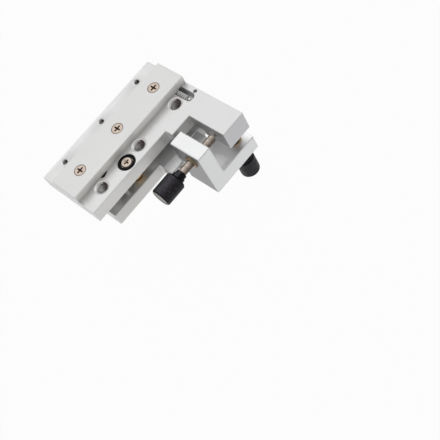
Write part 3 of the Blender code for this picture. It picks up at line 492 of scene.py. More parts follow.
# The base's walls and edges take a faint tint of painted shade.
BASE_ALUMINIUM = satin_aluminium(
    "base_aluminium", (0.79, 0.79, 0.785), 0.36, 0.55, cutter_marks=(0.10, 2.6, 2.6),
    wall_painted_light=(1.0, 0.99, 0.97), wall_roughness=0.06, edge_painted_light=(0.95, 0.95, 0.95))
EDGE = 0.35
base_low, base_high = box_mm("base_plate")
base_side = base_low[1] + 2.9
base_step = -2.2
seat_x, seat_y, rest_y = -12.2, -11.9, 9.4
spring_x, spring_y = -22.4, -4.5
stop_x, stop_y = -20.4, -11.9
slot_x, coil_x, post_y, pin_y = 28.55, 28.0, 0.0, -14.2
base_top, base_x0 = base_high[2], base_low[0]
end_hole_pitch, end_hole_z, end_hole_radius, end_hole_depth = 15.3, 3.5, 1.5, 7.6
lip, spring_bore, spring_floor, seat_bore, seat_depth = 0.2, 3.0, 4.0, 2.3, 1.6
pad_bore, pad_floor, stop_bore, stop_depth, post_bore, post_floor = 4.5, 4.25, 4.4, 1.2, 0.7, 4.7
base_plate = stock("base_plate_body",
                   plate([(base_x0, base_side), (base_step, base_side), (base_step, base_low[1]),
                          (base_high[0], base_low[1]), (base_high[0], base_high[1]), (base_x0, base_high[1])],
                         base_low[2], base_top), EDGE)
mill(base_plate,
     [drill(spring_bore, spring_floor, base_top, spring_x, spring_y, lip)],
     [drill(seat_bore, base_top - seat_depth, base_top, seat_x, seat_y, lip),
      drill(pad_bore, pad_floor, base_top, seat_x, rest_y, 0.25),
      drill(stop_bore, base_top - stop_depth, base_top, stop_x, stop_y, lip),
      drill(post_bore, post_floor, base_top, coil_x, post_y, 0.1)]
     + [turned(blind(end_hole_radius, base_x0, end_hole_depth, 0.3, tip=0.8), (0, y, end_hole_z), "X")
        for y in (-end_hole_pitch, 0, end_hole_pitch)])
finished(base_plate, "base", "plate_aluminium", BASE_ALUMINIUM, "base_plate")

# Threads in the base plate's end. Each tapped hole shows a fine spiral ridge inside its mouth;
# one node tree winds it, sets it along a row and serves every thread on the stage.


def tree_inputs(name, sizes):
    """A new shape tree with its named inputs, a geometry way in and a geometry way out."""
    tree = bpy.data.node_groups.new(name, "GeometryNodeTree")
    tree.interface.new_socket("Geometry", in_out="INPUT", socket_type="NodeSocketGeometry")
    for label, kind in sizes:
        tree.interface.new_socket(label, in_out="INPUT", socket_type="NodeSocket" + kind)
    tree.interface.new_socket("Geometry", in_out="OUTPUT", socket_type="NodeSocketGeometry")
    bench = Bench(tree)
    entry = tree.nodes.new("NodeGroupInput")
    return bench, {socket.name: Tone(bench, socket) for socket in entry.outputs if socket.name}


def in_a_row(bench, way, piece):
    """Sets copies of a piece from First on, each a Step from the last."""
    row = bench.node("GeometryNodeMeshLine", {"mode": "OFFSET"},
                     {"Count": way["Count"], "Start Location": way["First"], "Offset": way["Step"]})
    return bench.node("GeometryNodeInstanceOnPoints", None, {"Points": row, "Instance": piece})


def close_tree(bench, shape, finish, mark=None, marked_finish=None):
    """Ends a tree: realises copies and sets the finish, with another one on marked faces."""
    real = bench.node("GeometryNodeRealizeInstances", None, {"Geometry": shape})
    dressed = bench.node("GeometryNodeSetMaterial", None, {"Geometry": real, "Material": finish})
    if mark:
        chosen = bench.node("GeometryNodeInputNamedAttribute", {"data_type": "BOOLEAN"}, {"Name": mark})
        dressed = bench.node("GeometryNodeSetMaterial", None,
                             {"Geometry": dressed, "Selection": chosen, "Material": marked_finish})
    leave = bench.tree.nodes.new("NodeGroupOutput")
    bench.feed(leave.inputs["Geometry"], dressed)
    return bench.tree


def formed(name, start, tree, sizes):
    """Runs a shape tree with its sizes on a start shape and keeps what it makes as a plain mesh."""
    obj = placed(name, start)
    form = obj.modifiers.new("form", "NODES")
    form.node_group = tree
    for item in tree.interface.items_tree:
        if item.item_type == "SOCKET" and item.in_out == "INPUT" and item.name in sizes:
            form[item.identifier] = sizes[item.name]
    return placed(name, plain_mesh(obj))


wind, way = tree_inputs("wound_thread", [("Radius", "Float"), ("Ridge", "Float"), ("Pitch", "Float"),
                                         ("Turns", "Float"), ("Turn to axis", "Vector"), ("First", "Vector"),
                                         ("Step", "Vector"), ("Count", "Int"), ("Finish", "Material")])
helix = wind.node("GeometryNodeCurveSpiral", None,
                  {"Resolution": 32, "Rotations": way["Turns"], "Start Radius": way["Radius"],
                   "End Radius": way["Radius"], "Height": way["Turns"] * way["Pitch"], "Reverse": True})
flank = wind.node("GeometryNodeCurvePrimitiveCircle", {"mode": "RADIUS"},
                  {"Resolution": 4, "Radius": way["Ridge"]})
ridge = wind.node("GeometryNodeCurveToMesh", None, {"Curve": helix, "Profile Curve": flank, "Fill Caps": True})
ridge = wind.node("GeometryNodeTransform", None, {"Geometry": ridge, "Rotation": way["Turn to axis"]})
WOUND_THREAD = close_tree(wind, in_a_row(wind, way, ridge), way["Finish"])
TURN_TO = {"X": (0, math.pi / 2, 0), "Z": (0, 0, 0)}


def thread(name, radius, ridge, pitch, turns, axis, first, step, count, finish):
    """Winds threads of one size along a row. All in millimetres."""
    return formed(name, bpy.data.meshes.new(name), WOUND_THREAD,
                  {"Radius": radius * MM, "Ridge": ridge * MM, "Pitch": pitch * MM, "Turns": float(turns),
                   "Turn to axis": TURN_TO[axis], "First": [value * MM for value in first],
                   "Step": [value * MM for value in step], "Count": count, "Finish": finish})


made, bench, shader, spot = metal("tapped_aluminium", (0.50, 0.48, 0.47), 0.3, 0.5)
smear = grain(bench, spot, 0.9, 3.0, 0.6)
# Thread walls: painted highlight, near white and metallic, where they face +X; painted shade, near black, where
# they face -X.
lit_side = (way_faced(bench)[0] * 1.4 + 0.5 + 0.4 * smear).held()
dress(bench, shader, bench.blend(lit_side, (0.13, 0.095, 0.09), (0.98, 0.98, 0.98)), 0.25 + 0.16 * smear)
bench.feed(shader.inputs["Metallic"], 0.5 + 0.5 * lit_side)
TAPPED_ALUMINIUM = made
rides(thread("base_end_threads", radius=1.55, ridge=0.24, pitch=0.5, turns=13, axis="X",
             first=(base_x0 + 0.5, -end_hole_pitch, end_hole_z), step=(0, end_hole_pitch, 0), count=3,
             finish=TAPPED_ALUMINIUM), "base", "plate_aluminium")

# Stop pin, hard pad and the two balls. Ground steel pins and pad pressed into the base, a brass
# ball bored for the pivot screw, and a steel ball that rolls on the pad across the plate.


def turned_metal(name, colour, roughness, ring_pitch, depth, metallic=1.0):
    """Turned or ground metal: fine rings from the lathe, small stains and a soft change of tone."""
    made, bench, shader, spot = metal(name, colour, roughness, metallic)
    rings = grain(bench, spot, 1.0, 3.0, 0.6, (ring_pitch, ring_pitch, ring_pitch))
    stain = grain(bench, spot, 0.9, 3.0, 0.65)
    dress(bench, shader, varied(bench, 0.5 * rings + 0.5 * stain, colour, 1 - depth, 1 + 0.6 * depth),
          roughness - 0.06 + 0.08 * rings + 0.06 * stain)
    dented(bench, shader, rings, 0.12)
    return made


STEEL = turned_metal("bright_steel", (0.66, 0.64, 0.62), 0.26, 7.0, 0.12)
# Brass darkened as painted shade for the pivot ball's place between the plates.
SHADED_BRASS = turned_metal("turned_brass_painted_shade", (0.55, 0.33, 0.12), 0.26, 6.0, 0.14)
ball_r, ball_z, ball_bore = 3.1, 9.45, 1.8


def ball_outline(radius, bore=0.0, steps=36):
    reach = math.acos(bore / radius) if bore else math.pi / 2
    angles = [reach - 2 * reach * step / steps for step in range(steps + 1)]
    points = [(radius * math.cos(angle), radius * math.sin(angle)) for angle in angles]
    if not bore:
        points[0], points[-1] = (0, radius), (0, -radius)
    return points


lathed("pivot_ball", ball_outline(ball_r, ball_bore), (seat_x, seat_y, ball_z), "ball_frame", "brass", SHADED_BRASS,
       closed=True)
lathed("support_ball", ball_outline(ball_r), (seat_x, rest_y, ball_z), "ball_frame", "steel", STEEL)
pad_radius, pad_low, pad_top = 4.4, 4.5, 6.05
lathed("support_pad", [(0, pad_low), (pad_radius, pad_low), (pad_radius, pad_top - lip),
                       (pad_radius - lip, pad_top), (0, pad_top)], (seat_x, rest_y, 0), "base", "steel", STEEL)
pin_radius, pin_low, pin_top = 1.3, 3.1, 9.4
lathed("stop_pin", [(0, pin_low), (pin_radius, pin_low), (pin_radius, 9.05), (1.12, 9.3), (0.8, pin_top),
                    (0, pin_top)], (stop_x, stop_y, 0), "base", "steel", STEEL)

# Bracket. One milled block: the post that holds the upper adjuster, the lower arm under the
# stage's arm, and the lug that a cap screw and two dowels fix to the base plate's side.
# The bracket's edges and its faces towards -X take painted shade, and the shelf under the arm takes painted
# light.
BRACKET_ALUMINIUM = satin_aluminium(
    "bracket_aluminium", (0.88, 0.885, 0.89), 0.38, 0.64, cutter_marks=(2.2, 0.08, 2.2),
    wall_painted_light=(1.0, 1.0, 1.0), wall_roughness=0.0, edge_painted_light=(0.8, 0.8, 0.8), minus_x_painted_shade=(0.37, 0.37, 0.375),
    shelf_painted_light=(4.0, 46.0, 6.0))
post_x0, post_x1, bracket_y0, bracket_y1, bracket_z0 = 5.3, 12.8, -41.3, -23.2, -8.3
arm_end, _, bracket_z1 = box_mm("bracket")[1]
lower_top = 0.0
yaw_axis, pitch_axis = (0, -33.9, 12.4), (27.75, -34.8, 0)
side = [(post_x0, bracket_z0), (arm_end, bracket_z0), (arm_end, lower_top), (post_x1, lower_top),
        (post_x1, bracket_z1), (post_x0, bracket_z1)]
bracket = stock("bracket_body", pushed([(x, bracket_y0, z) for x, z in side], (0, bracket_y1 - bracket_y0, 0)))
lug_x0, lug_x1, lug_y0, lug_y1, lug_top = -2.7, 20.8, -25.92, -20.42, 7.0
lug_outline = [(lug_x0, lug_y0), (lug_x1, lug_y0), (lug_x1, lug_y1), (lug_x0, lug_y1)]
mill(bracket, [plate(lug_outline, 0, lug_top)], operation="UNION")
break_edges(bracket, EDGE)
bushing_bore, cap_bore, cap_bore_depth = 2.85, 2.85, 3.2
cap_x, cap_z, cap_tip = 1.3, 3.5, -14.3


def bore_sweep(radius, near, far, chamfer):
    """A bore through a wall, with both its mouths countersunk."""
    return [(0, near - 1), (radius + chamfer, near - 1), (radius + chamfer, near), (radius, near + chamfer),
            (radius, far - chamfer), (radius + chamfer, far), (radius + chamfer, far + 1), (0, far + 1)]


mill(bracket, [turned(bore_sweep(bushing_bore, post_x0, post_x1, lip), yaw_axis, "X"),
               turned(bore_sweep(bushing_bore, bracket_z0, lower_top, lip), pitch_axis),
               turned(blind(cap_bore, lug_y0, cap_bore_depth, 0.15), (cap_x, 0, cap_z), "Y")])
finished(bracket, "base", "bracket_aluminium", BRACKET_ALUMINIUM, "bracket")

# Cap screw of the lug: a steel socket screw with a rounded rim and a hexagon socket. The dowels
# beside it are ground steel and hidden in their bores.
cap_y0 = lug_y0 + 0.3
cap = stock("bracket_cap_screw_body",
            turned([(0, cap_y0), (2.2, cap_y0), (2.5, cap_y0 + 0.15), (2.6, cap_y0 + 0.4), (2.6, cap_y0 + 2.8),
                    (1.5, cap_y0 + 2.8), (1.5, cap_tip), (0, cap_tip)], (cap_x, 0, cap_z), "Y"))
mill(cap, [turned([(0, cap_y0 - 1), (1.4, cap_y0 - 1), (1.4, cap_y0 + 1.2), (0, cap_y0 + 1.7)],
                  (cap_x, 0, cap_z), "Y", steps=6)])
finished(cap, "base", "steel", STEEL, "bracket_cap_screw")
for number in (1, 2):
    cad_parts["bracket_dowel_%d" % number].material_slots[0].material = STEEL

# Tilting plate. Milled from one piece: the long plate with its wider part and thick arm, three
# big tapped holes, three small ones, the pivot's pocket, the spring's slot and the pads' bores.
plate_low, plate_high = box_mm("tilt_plate")
plate_x0, plate_x1, plate_top = plate_low[0], plate_high[0], plate_high[2]
plate_z0, plate_y0, wide_x, wide_y, arm_x, arm_step = 11.9, -16.9, 9.2, -21.2, 20.8, -27.2
arm_y, arm_low, plate_y1 = plate_low[1], plate_low[2], plate_high[1]
hole_xs = [-27.6, -2.6, 22.4]
big_row_y, small_row_y = -10.7, 15.8
slot_y0, slot_y1, slot_radius = -16.7, 3.8, 2.4
notch_x, notch_y, notch_radius = -22.9, -6.3, 1.6
big_bore, small_bore, dowel_bore, dowel_x, dowel_y = 2.95, 1.5, 0.9, 32.2, -14.5
screw_way, head_bore, head_floor, press_bore, press_depth = 2.3, 4.3, 17.95, 3.4, 2.2
# The plate's walls take painted light; its arm end, holes and wells take painted shade, and the holes a painted
# highlight too.
PLATE_ALUMINIUM = satin_aluminium(
    "plate_aluminium", (0.81, 0.812, 0.81), 0.36, 0.55, cutter_marks=(2.6, 0.10, 0.3),
    wall_painted_light=(1.10, 1.09, 1.07), wall_roughness=0.06, edge_painted_light=(0.95, 0.95, 0.94),
    arm_end_painted_shade=(0.86, 0.86, 0.88), hole_rows=((hole_xs[0], big_row_y, 3.8), (hole_xs[0], small_row_y, 2.3)),
    shaded_wells=((spring_x, spring_y, 0.0, 3.05, 30.0, 0.03),
                (notch_x, notch_y, 0.0, notch_radius + 0.02, 30.0, 0.03),
                (slot_x, (slot_y0 + slot_y1) / 2, 7.9, 2.5, 15.4, 0.95),
                (15.1, -22.0, 19.5, 5.85, 18.8, 0.72)))
tilt_plate = stock("tilt_plate_body",
                   plate([(plate_x0, plate_y0), (wide_x, plate_y0), (wide_x, wide_y), (arm_x, wide_y),
                          (arm_x, arm_step), (plate_x1, arm_step), (plate_x1, plate_y1), (plate_x0, plate_y1)],
                         plate_z0, plate_top))
thick_arm = plate([(arm_x, arm_y), (plate_x1, arm_y), (plate_x1, arm_step), (arm_x, arm_step)],
                  arm_low, plate_top)
mill(tilt_plate, [thick_arm], operation="UNION")
break_edges(tilt_plate, 0.22)
mill(tilt_plate,
     [drill(big_bore, plate_z0, plate_top, x, big_row_y, chamfer=0.65, foot=0.3, slope=0.6) for x in hole_xs]
     + [drill(small_bore, plate_z0, plate_top, x, small_row_y, chamfer=0.6, foot=0.2, slope=0.5)
        for x in hole_xs]
     + [drill(dowel_bore, plate_top - 5, plate_top, dowel_x, dowel_y, 0.15),
        drill(spring_bore, plate_z0, plate_top, spring_x, spring_y, lip, lip),
        turned([(0, plate_z0 - 1), (screw_way, plate_z0 - 1), (screw_way, head_floor), (head_bore, head_floor),
                (head_bore, plate_top - 0.15), (head_bore + 0.15, plate_top),
                (head_bore + 0.15, plate_top + 1), (0, plate_top + 1)], (seat_x, seat_y, 0)),
        turned(blind(seat_bore, plate_z0, seat_depth, lip), (seat_x, rest_y, 0)),
        slot_sweep(slot_x, slot_y0, slot_y1, slot_radius, 14.5, plate_top + 1),
        turned(blind(press_bore, arm_x, press_depth, lip), yaw_axis, "X"),
        turned(blind(press_bore, arm_low, press_depth, lip), pitch_axis)],
     [slot_sweep(slot_x, -2.6, 2.6, slot_radius, plate_z0 - 1, 16.0)],
     [drill(notch_radius, 15.0, plate_top, notch_x, notch_y)])
finished(tilt_plate, "stage_top", "plate_aluminium", PLATE_ALUMINIUM, "tilt_plate")
for label, radius, ridge, pitch, turns, row_y, start_z in (
        ("big_hole_threads", 2.98, 0.5, 1.0, 6.1, big_row_y, plate_z0 + 0.6),
        ("small_hole_threads", 1.5, 0.27, 0.5, 12.6, small_row_y, plate_z0 + 0.4)):
    rides(thread(label, radius, ridge, pitch, turns, "Z", (hole_xs[0], row_y, start_z), (HOLE_PITCH, 0, 0), 3,
                 TAPPED_ALUMINIUM), "stage_top", "plate_aluminium")

# Raised bar. A second milled piece laid along the plate, with a satin top and a wall painted brighter than the
# top, with painted shade towards its foot. Three countersunk screws hold it.
BAR_ALUMINIUM = satin_aluminium(
    "bar_aluminium", (0.81, 0.81, 0.805), 0.40, 0.55, cutter_marks=(0.06, 2.4, 2.4),
    wall_painted_light=(1.22, 1.20, 1.17), wall_roughness=0.24, edge_painted_light=(1.22, 1.22, 1.22),
    wall_foot_shade=(19.1, 22.6, 0.60))
bar_low, bar_high = box_mm("rail_bar")
bar_y, bar_top = (bar_low[1] + bar_high[1]) / 2, bar_high[2]
rail_bar = stock("rail_bar_body", plate([(bar_low[0], bar_low[1]), (bar_high[0], bar_low[1]),
                                         (bar_high[0], bar_high[1]), (bar_low[0], bar_high[1])],
                                        plate_top + 0.04, bar_top), 0.28)
mill(rail_bar, [turned([(0, plate_top - 1), (1.7, plate_top - 1), (1.7, bar_top - 1.6), (2.95, bar_top - 0.28),
                        (2.95, bar_top + 1), (0, bar_top + 1)], (x, bar_y, 0)) for x in hole_xs])
finished(rail_bar, "stage_top", "bar_aluminium", BAR_ALUMINIUM, "rail_bar")

# Screws of the bar: countersunk, steel plated with a warm nickel, each with a cross recess painted near-black
# as painted shade. One screw is turned and a node tree sets it along the row.
cross_half, cross_arm, cross_depth = 1.74, 0.42, 0.9


def cross_head(name, outline, top, share=1.0):
    """A screw with a tapered cross recess, turned from an outline of radii and depths below its top."""
    screw = stock(name, turned([(radius, top - depth) for radius, depth in outline], (0, 0, 0), steps=64))
    sweep = bmesh.new()
    rings = []
    for level_z, spread in ((top + 0.5, 1.0), (top, 1.0), (top - cross_depth, 0.55)):
        half, arm = cross_half * share * spread, cross_arm * (0.6 + 0.4 * spread)
        points = [(-half, -arm), (-arm, -arm), (-arm, -half), (arm, -half), (arm, -arm), (half, -arm),
                  (half, arm), (arm, arm), (arm, half), (-arm, half), (-arm, arm), (-half, arm)]
        rings.append([sweep.verts.new((x * MM, y * MM, level_z * MM)) for x, y in points])
    for upper, lower in zip(rings, rings[1:]):
        for index in range(12):
            after = (index + 1) % 12
            sweep.faces.new((upper[index], upper[after], lower[after], lower[index]))
    sweep.faces.new(rings[0])
    sweep.faces.new(rings[-1])
    bmesh.ops.recalc_face_normals(sweep, faces=sweep.faces)
    mill(screw, [sweep])
    mesh = plain_mesh(screw)
    smooth(mesh)
    recess = mesh.attributes.new("recess", "BOOLEAN", "FACE")
    least, most, slack = 0.05, 1.2, 0.06
    for face in mesh.polygons:
        depth = top - face.center.z / MM
        wide = max(mesh.vertices[vert].co.xy.length for vert in face.vertices) / MM
        recess.data[face.index].value = least < depth < most and wide < cross_half * share + slack
    return mesh


def plated_screw(name, colour, roughness):
    """Warm nickel plating over turned steel: rings by distance from the screw's own axis."""
    made, bench, shader, spot = metal(name, colour, roughness)
    away = bench.node("ShaderNodeAttribute", {"attribute_name": "lathe_radius"}, None, 2)
    rings = bench.node("ShaderNodeTexNoise", {"noise_dimensions": "1D"},
                       {"W": away, "Scale": 9.0, "Detail": 3.0})
    stain = grain(bench, spot, 1.3, 3.0, 0.6)
    rim = (away - 2.25).most(0.0).least(0.4) * 1.6
    shade = varied(bench, 0.5 * rings + 0.5 * stain, colour, 0.70, 1.3)
    dress(bench, shader, bench.blend(rim, shade, (0.20, 0.14, 0.10)), roughness - 0.05 + 0.1 * stain)
    dented(bench, shader, rings, 0.2)
    return made


WARM_NICKEL = plated_screw("warm_nickel", (0.49, 0.415, 0.355), 0.32)
# The cross recesses: a near-black finish that is painted shade.
made, bench, shader, spot = metal("recess_painted_shade", (0.05, 0.025, 0.014), 0.6, 0.2)
crumb = grain(bench, spot, 6.0, 3.0, 0.7)
dress(bench, shader, bench.blend(crumb, (0.02, 0.010, 0.006), (0.12, 0.06, 0.035)), 0.45 + 0.3 * crumb)
RECESS_SHADE = made

fit, way = tree_inputs("screw_row", [("First", "Vector"), ("Step", "Vector"), ("Count", "Int"),
                                     ("Plating", "Material"), ("Recess", "Material")])
at_x, at_y, _ = split(fit, fit.node("GeometryNodeInputPosition"))
distance = ((at_x * 1000.0) ** 2.0 + (at_y * 1000.0) ** 2.0) ** 0.5
marked = fit.node("GeometryNodeStoreNamedAttribute", {"data_type": "FLOAT", "domain": "POINT"},
                  {"Geometry": way["Geometry"], "Name": "lathe_radius", "Value": distance})
SCREW_ROW = close_tree(fit, in_a_row(fit, way, marked), way["Plating"], "recess", way["Recess"])
one_screw = cross_head("bar_screw", [(0, 8.0), (1.5, 8.0), (1.5, 1.5), (2.76, 0.16), (2.78, 0.06), (2.7, 0),
                                     (0, 0)], bar_top)
rides(formed("bar_screws", one_screw, SCREW_ROW,
             {"First": (hole_xs[0] * MM, bar_y * MM, 0.0), "Step": (HOLE_PITCH * MM, 0.0, 0.0), "Count": 3,
              "Plating": WARM_NICKEL, "Recess": RECESS_SHADE}),
      "stage_top", "nickel_screw", "bar_screw_1", "bar_screw_2", "bar_screw_3")

# Pivot screw and its ring. The screw clamps the brass ball to the base plate through a clear
# hole; the moulded rubber ring round its head keeps dirt out of the pocket.
head_top = 19.35
one_screw = cross_head("pivot_screw", [(0, 17.85), (1.5, 17.85), (1.5, 1.1), (2.6, 1.1), (2.6, 0.3), (2.35, 0),
                                       (0, 0)], head_top, 0.8)
rides(formed("pivot_screw_body", one_screw, SCREW_ROW,
             {"First": (seat_x * MM, seat_y * MM, 0.0), "Step": (0.0, 0.0, 0.0), "Count": 1,
              "Plating": WARM_NICKEL, "Recess": RECESS_SHADE}), "base", "nickel_screw", "pivot_screw")
made, bench, shader, spot = metal("black_rubber", (0.014, 0.014, 0.015), 0.62, 0.0)
shader.inputs["Specular IOR Level"].default_value = 0.15
skin = grain(bench, spot, 5.0, 4.0, 0.65)
dress(bench, shader, bench.blend(skin, (0.003, 0.003, 0.003), (0.012, 0.012, 0.012)), 0.5 + 0.25 * skin)
dented(bench, shader, skin, 0.3, depth=0.04)
RUBBER = made
ring_radius, ring_z, round_steps = 3.57, 18.85, 24
around = [2 * math.pi * step / round_steps for step in range(round_steps)]
section = [(ring_radius + 0.59 * math.cos(angle), 0.6 * math.sin(angle)) for angle in around]
lathed("pivot_ring", section, (seat_x, seat_y, ring_z), "stage_top", "rubber", RUBBER, closed=True)

# Springs and what holds them. Two coils of drawn steel wire: one upright between the plates,
# one in the slot, hooked on a pin in the plate and a post that comes up from the base.


def drawn_steel(name, colour, roughness):
    """Drawn wire: an unsoiled bright skin with lengthwise die marks and a little grey oil."""
    made, bench, shader, spot = metal(name, colour, roughness)
    die = grain(bench, spot, 1.0, stretch=(5, 5, 5))
    oil = grain(bench, spot, 1.4, 2.0)
    dress(bench, shader, varied(bench, 0.5 * die + 0.5 * oil, colour, 0.8, 1.1), roughness - 0.05 + 0.12 * oil)
    return made


WIRE_STEEL = drawn_steel("spring_wire", (0.93, 0.92, 0.91), 0.42)
# Near-black wire for the upright spring: painted shade for its place deep in the holes.
SHADED_WIRE = drawn_steel("spring_wire_painted_shade", (0.07, 0.065, 0.06), 0.45)
draw, way = tree_inputs("drawn_wire", [("Wire radius", "Float"), ("Sides", "Int"), ("Finish", "Material")])
circle = draw.node("GeometryNodeCurvePrimitiveCircle", {"mode": "RADIUS"},
                   {"Resolution": way["Sides"], "Radius": way["Wire radius"]})
wire = draw.node("GeometryNodeCurveToMesh", None,
                 {"Curve": way["Geometry"], "Profile Curve": circle, "Fill Caps": True})
wire = draw.node("GeometryNodeSetShadeSmooth", None, {"Geometry": wire})
DRAWN_WIRE = close_tree(draw, wire, way["Finish"])


def wire_piece(name, points, radius, finish, body, *nodes):
    """Bends wire along points in millimetres."""
    path = bpy.data.curves.new(name, "CURVE")
    path.dimensions = "3D"
    line = path.splines.new("POLY")
    line.points.add(len(points) - 1)
    for place, point in zip(line.points, points):
        place.co = (point[0] * MM, point[1] * MM, point[2] * MM, 1)
    rides(formed(name, path, DRAWN_WIRE, {"Wire radius": radius * MM, "Sides": 12, "Finish": finish}),
          body, "spring_steel", *nodes)


def coiled(coils, radius, start, end, steps=28):
    """A coil's points: two places across its axis, from zero, and one along it."""
    angles = [2 * math.pi * step / steps for step in range(coils * steps + 1)]
    return [(radius * math.cos(angle), radius * math.sin(angle), start + (end - start) * step / (coils * steps))
            for step, angle in enumerate(angles)]


upright = [(spring_x + x, spring_y + y, along) for x, y, along in coiled(10, 1.9, start=4.6, end=18.3)]
wire_piece("pitch_spring_wire", upright, 0.3, SHADED_WIRE, "base", "pitch_spring")
hook, loop, loop_lead, lead_z = 1.12, 1.5, 1.3, 17.3
lying = []
for step in range(12):
    angle = math.pi * (step / 12 - 1)
    lying.append((coil_x + hook * math.cos(angle), pin_y + hook * math.sin(angle), lead_z))
lying += [(coil_x + x, along, lead_z + z) for x, z, along in coiled(8, 1.2, start=-12.28, end=-2.8)]
for step in range(17):
    angle = math.pi * step / 16
    lying.append((coil_x + loop * math.cos(angle), post_y + loop_lead + loop * math.sin(angle), lead_z))
lying.append((coil_x - loop, post_y - loop_lead, lead_z))
wire_piece("yaw_spring_wire", lying, 0.27, WIRE_STEEL, "stage_top", "yaw_spring")
lathed("spring_pin", [(0, 12.5), (0.6, 12.5), (0.6, 18.15), (0.45, 18.3), (0, 18.3)], (coil_x, pin_y, 0),
       "stage_top", "steel", STEEL, steps=32)
lathed("spring_post", [(0, 5.0), (0.6, 5.0), (0.6, 8.0), (0.48, 8.3), (0.48, 17.4), (0.35, 17.5), (0, 17.5)],
       (coil_x, post_y, 0), "base", "steel", STEEL, steps=32)

# Bushings and press pads. Turned brass bushings with a thin flange line the two adjuster bores,
# and hardened steel discs in the stage's arm take the ball tips.
# Aged bronze, darkened further as painted shade for the bushings' shaded places under the post and the arm.
AGED_SHADED_BRONZE = turned_metal("aged_bronze_painted_shade", (0.33, 0.26, 0.165), 0.36, 5.0, 0.3)


def bushing(node, axis, centre, wall, other):
    """A flanged tube from one wall to the other, its flange against the first."""
    out = -1 if wall < other else 1
    rim, foot, inside, outside, flange = wall + out * 0.8, wall + out * 0.02, 2.1, 2.8, 3.35
    profile = [(inside, rim), (2.25, rim), (flange - 0.1, rim), (flange, wall + out * 0.7), (flange, foot),
               (outside, foot), (outside, other + out * 0.1), (outside - 0.2, other), (inside, other)]
    lathed(node, profile, centre, "base", "brass", AGED_SHADED_BRONZE, axis, closed=True)


bushing("yaw_bushing", "X", yaw_axis, post_x0, post_x1)
bushing("pitch_bushing", "Z", pitch_axis, lower_top, bracket_z0)
press_radius, press_height, press_sunk = 3.3, 1.9, 0.12
for label, axis, centre, mouth in (("yaw", "X", yaw_axis, arm_x), ("pitch", "Z", pitch_axis, arm_low)):
    face, back = mouth + press_sunk, mouth + press_sunk + press_height
    lathed(label + "_press_pad", [(0, face), (press_radius - lip, face), (press_radius, face + lip),
                                  (press_radius, back), (0, back)], centre, "stage_top", "steel", STEEL, axis)

# Adjuster screws. Rolled fine threads on a steel core, each with a hard ball swaged in its tip.
# The steel has a warm cast, from the brass that it runs in and its film of grease; it is painted light on top
# and painted shade underneath.
made, bench, shader, spot = metal("greased_thread", (0.40, 0.32, 0.27), 0.22)
film = grain(bench, spot, 0.9, 3.0, 0.65)
# Painted light and shade: the thread is light where it faces up and dark where it faces down.
lit_top = ((way_faced(bench)[2] - 0.35) * 2.2).held() * (0.7 + 0.3 * film)
dress(bench, shader, bench.blend(lit_top, (0.17, 0.13, 0.105), (0.66, 0.57, 0.50)), 0.18 + 0.12 * film)
THREAD_STEEL = made


def fine_screw(label, axis, centre, start, end, ball_at):
    """Core, thread and ball of one adjuster along its axis. The knob hides the screw's plain start."""
    radius, pitch, plain = 1.78, 0.5, 9.0
    outline = [(0, start), (radius, start), (radius, end - 0.25), (1.5, end), (0, end)]
    finished(stock(label + "_screw_core", turned(outline, centre, axis)), label + "_adjuster", "steel",
             THREAD_STEEL, label + "_screw")
    first = list(centre)
    first["XYZ".index(axis)] = start + plain
    turns = (end - 0.5 - start - plain) / pitch
    rides(thread(label + "_screw_thread", radius, 0.165, pitch, turns, axis, first, (0, 0, 0), 1, THREAD_STEEL),
          label + "_adjuster", "steel")
    middle = list(centre)
    middle["XYZ".index(axis)] = ball_at
    lathed(label + "_tip_ball", ball_outline(1.55), middle, label + "_tip", "steel", STEEL, axis)


fine_screw("yaw", "X", yaw_axis, start=-10.4, end=19.8, ball_at=19.25)
fine_screw("pitch", "Z", pitch_axis, start=-19.2, end=7.3, ball_at=6.75)

# Knobs. Turned from aluminium rod with a diamond knurl and two-step neck, black anodised, then
# faced at the end, where the bare metal shows.


def black_anodised(name):
    """Black dye with a faint violet cast, worn on the knurl's points, with a painted highlight streak where it
    faces up.
    """
    made, bench, shader, spot = metal(name, (0.012, 0.010, 0.015), 0.24, 0.2)
    shader.inputs["Specular IOR Level"].default_value = 0.12
    crest = bench.node("ShaderNodeAttribute", {"attribute_name": "knurl_crest"}, None, 2)
    cloud = grain(bench, spot, 0.7, 3.0, 0.6)
    lighter_share = (crest - 0.35).most(0.0) * 2.6 * cloud
    dyed = bench.blend(cloud, (0.004, 0.0035, 0.005), (0.012, 0.010, 0.014))
    _, facing_y, facing_z = way_faced(bench)
    # Painted highlight: a lighter streak where the barrel faces up and a little towards -Y.
    painted_streak = ((0.985 * facing_z - 0.17 * facing_y - 0.91) * 14.0).held() * (0.5 + 0.7 * cloud)
    dyed = bench.blend(painted_streak.least(1.0), dyed, (0.085, 0.080, 0.092))
    dress(bench, shader, bench.blend(lighter_share, dyed, (0.26, 0.24, 0.27)), 0.20 + 0.1 * cloud)
    return made


BLACK_KNURL = black_anodised("black_anodised_knurl")
made, bench, shader, spot = metal("faced_end", (0.18, 0.175, 0.16), 0.34, 0.8)
arcs = grain(bench, spot, 1.0, 3.0, stretch=(3, 3, 3))
haze = grain(bench, spot, 0.5, 2.0)
dress(bench, shader, bench.blend(0.5 * arcs + 0.5 * haze, (0.155, 0.15, 0.135), (0.21, 0.205, 0.185)),
      0.28 + 0.14 * haze)
FACED_END = made

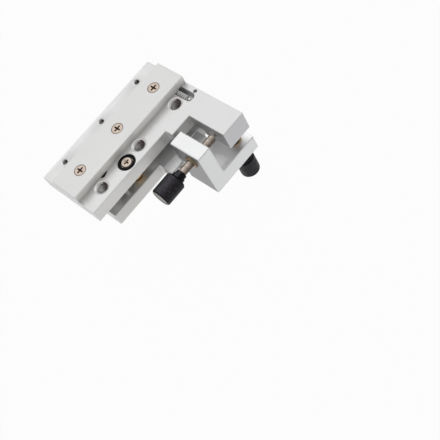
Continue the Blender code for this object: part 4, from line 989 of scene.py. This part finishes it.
roll, way = tree_inputs("diamond_knurl", [("Radius", "Float"), ("Depth", "Float"), ("Starts", "Float"),
                                          ("Lead", "Float"), ("Turn to axis", "Vector"), ("Place", "Vector"),
                                          ("Dye", "Material"), ("Face", "Material")])
at_x, at_y, at_z = split(roll, roll.node("GeometryNodeInputPosition"))
out_from_axis = (at_x * at_x + at_y * at_y) ** 0.5
turn = at_x.sum_with("ARCTAN2", at_y, at_x) * way["Starts"] / (2 * math.pi)
climb = at_z / way["Lead"]
above_zero = 100.0
first_cut = abs((turn + climb + above_zero).part() - 0.5) * 2.0
second_cut = abs((turn - climb + above_zero).part() - 0.5) * 2.0
crest = first_cut.least(second_cut)
on_barrel = (out_from_axis / way["Radius"]).over(0.999)
shrink = 1.0 - on_barrel * (1.0 - crest) * way["Depth"] / way["Radius"]
flat = roll.node("ShaderNodeCombineXYZ", None, {0: at_x * shrink, 1: at_y * shrink, 2: at_z})
named = roll.node("GeometryNodeStoreNamedAttribute", {"data_type": "FLOAT", "domain": "POINT"},
                  {"Geometry": way["Geometry"], "Name": "knurl_crest", "Value": on_barrel * crest})
rolled = roll.node("GeometryNodeSetPosition", None, {"Geometry": named, "Position": flat})
rolled = roll.node("GeometryNodeTransform", None, {"Geometry": rolled, "Rotation": way["Turn to axis"],
                                                   "Translation": way["Place"]})
DIAMOND_KNURL = close_tree(roll, rolled, way["Dye"], "faced", way["Face"])


def knob(label, axis, place):
    """A knob with its end at zero, rolled along Z and then set on its screw."""
    radius, length, neck, rows = 4.85, 11.2, 3.5, 76
    profile = [(0, 0.12), (3.6, 0.12), (3.72, 0.0), (4.15, 0.0), (radius, 0.7)]
    profile += [(radius, 0.7 + (length - 1.4) * step / rows) for step in range(1, rows)]
    profile += [(radius, length - 0.7), (4.15, length), (3.15, length), (3.0, length + 0.12),
                (3.0, length + 1.6), (2.85, length + 1.75), (2.55, length + 1.75), (2.55, length + neck - 0.15),
                (2.4, length + neck), (1.95, length + neck), (1.95, length + 2.0), (0, length + 2.0)]
    body = turned(profile, (0, 0, 0), steps=240)
    mesh = bpy.data.meshes.new(label + "_knob")
    body.to_mesh(mesh)
    body.free()
    smooth(mesh, 24)
    faced = mesh.attributes.new("faced", "BOOLEAN", "FACE")
    for face in mesh.polygons:
        faced.data[face.index].value = face.center.z < 0.2 * MM
    rides(formed(label + "_knob_body", mesh, DIAMOND_KNURL,
                 {"Radius": radius * MM, "Depth": 0.17 * MM, "Starts": 40.0, "Lead": 0.76 * MM,
                  "Turn to axis": TURN_TO[axis], "Place": [value * MM for value in place], "Dye": BLACK_KNURL,
                  "Face": FACED_END}),
          label + "_adjuster", "black_knob", label + "_knob")


yaw_knob_x, pitch_knob_z = -16.1, -24.9
knob("yaw", "X", (yaw_knob_x, *yaw_axis[1:]))
knob("pitch", "Z", (*pitch_axis[:2], pitch_knob_z))
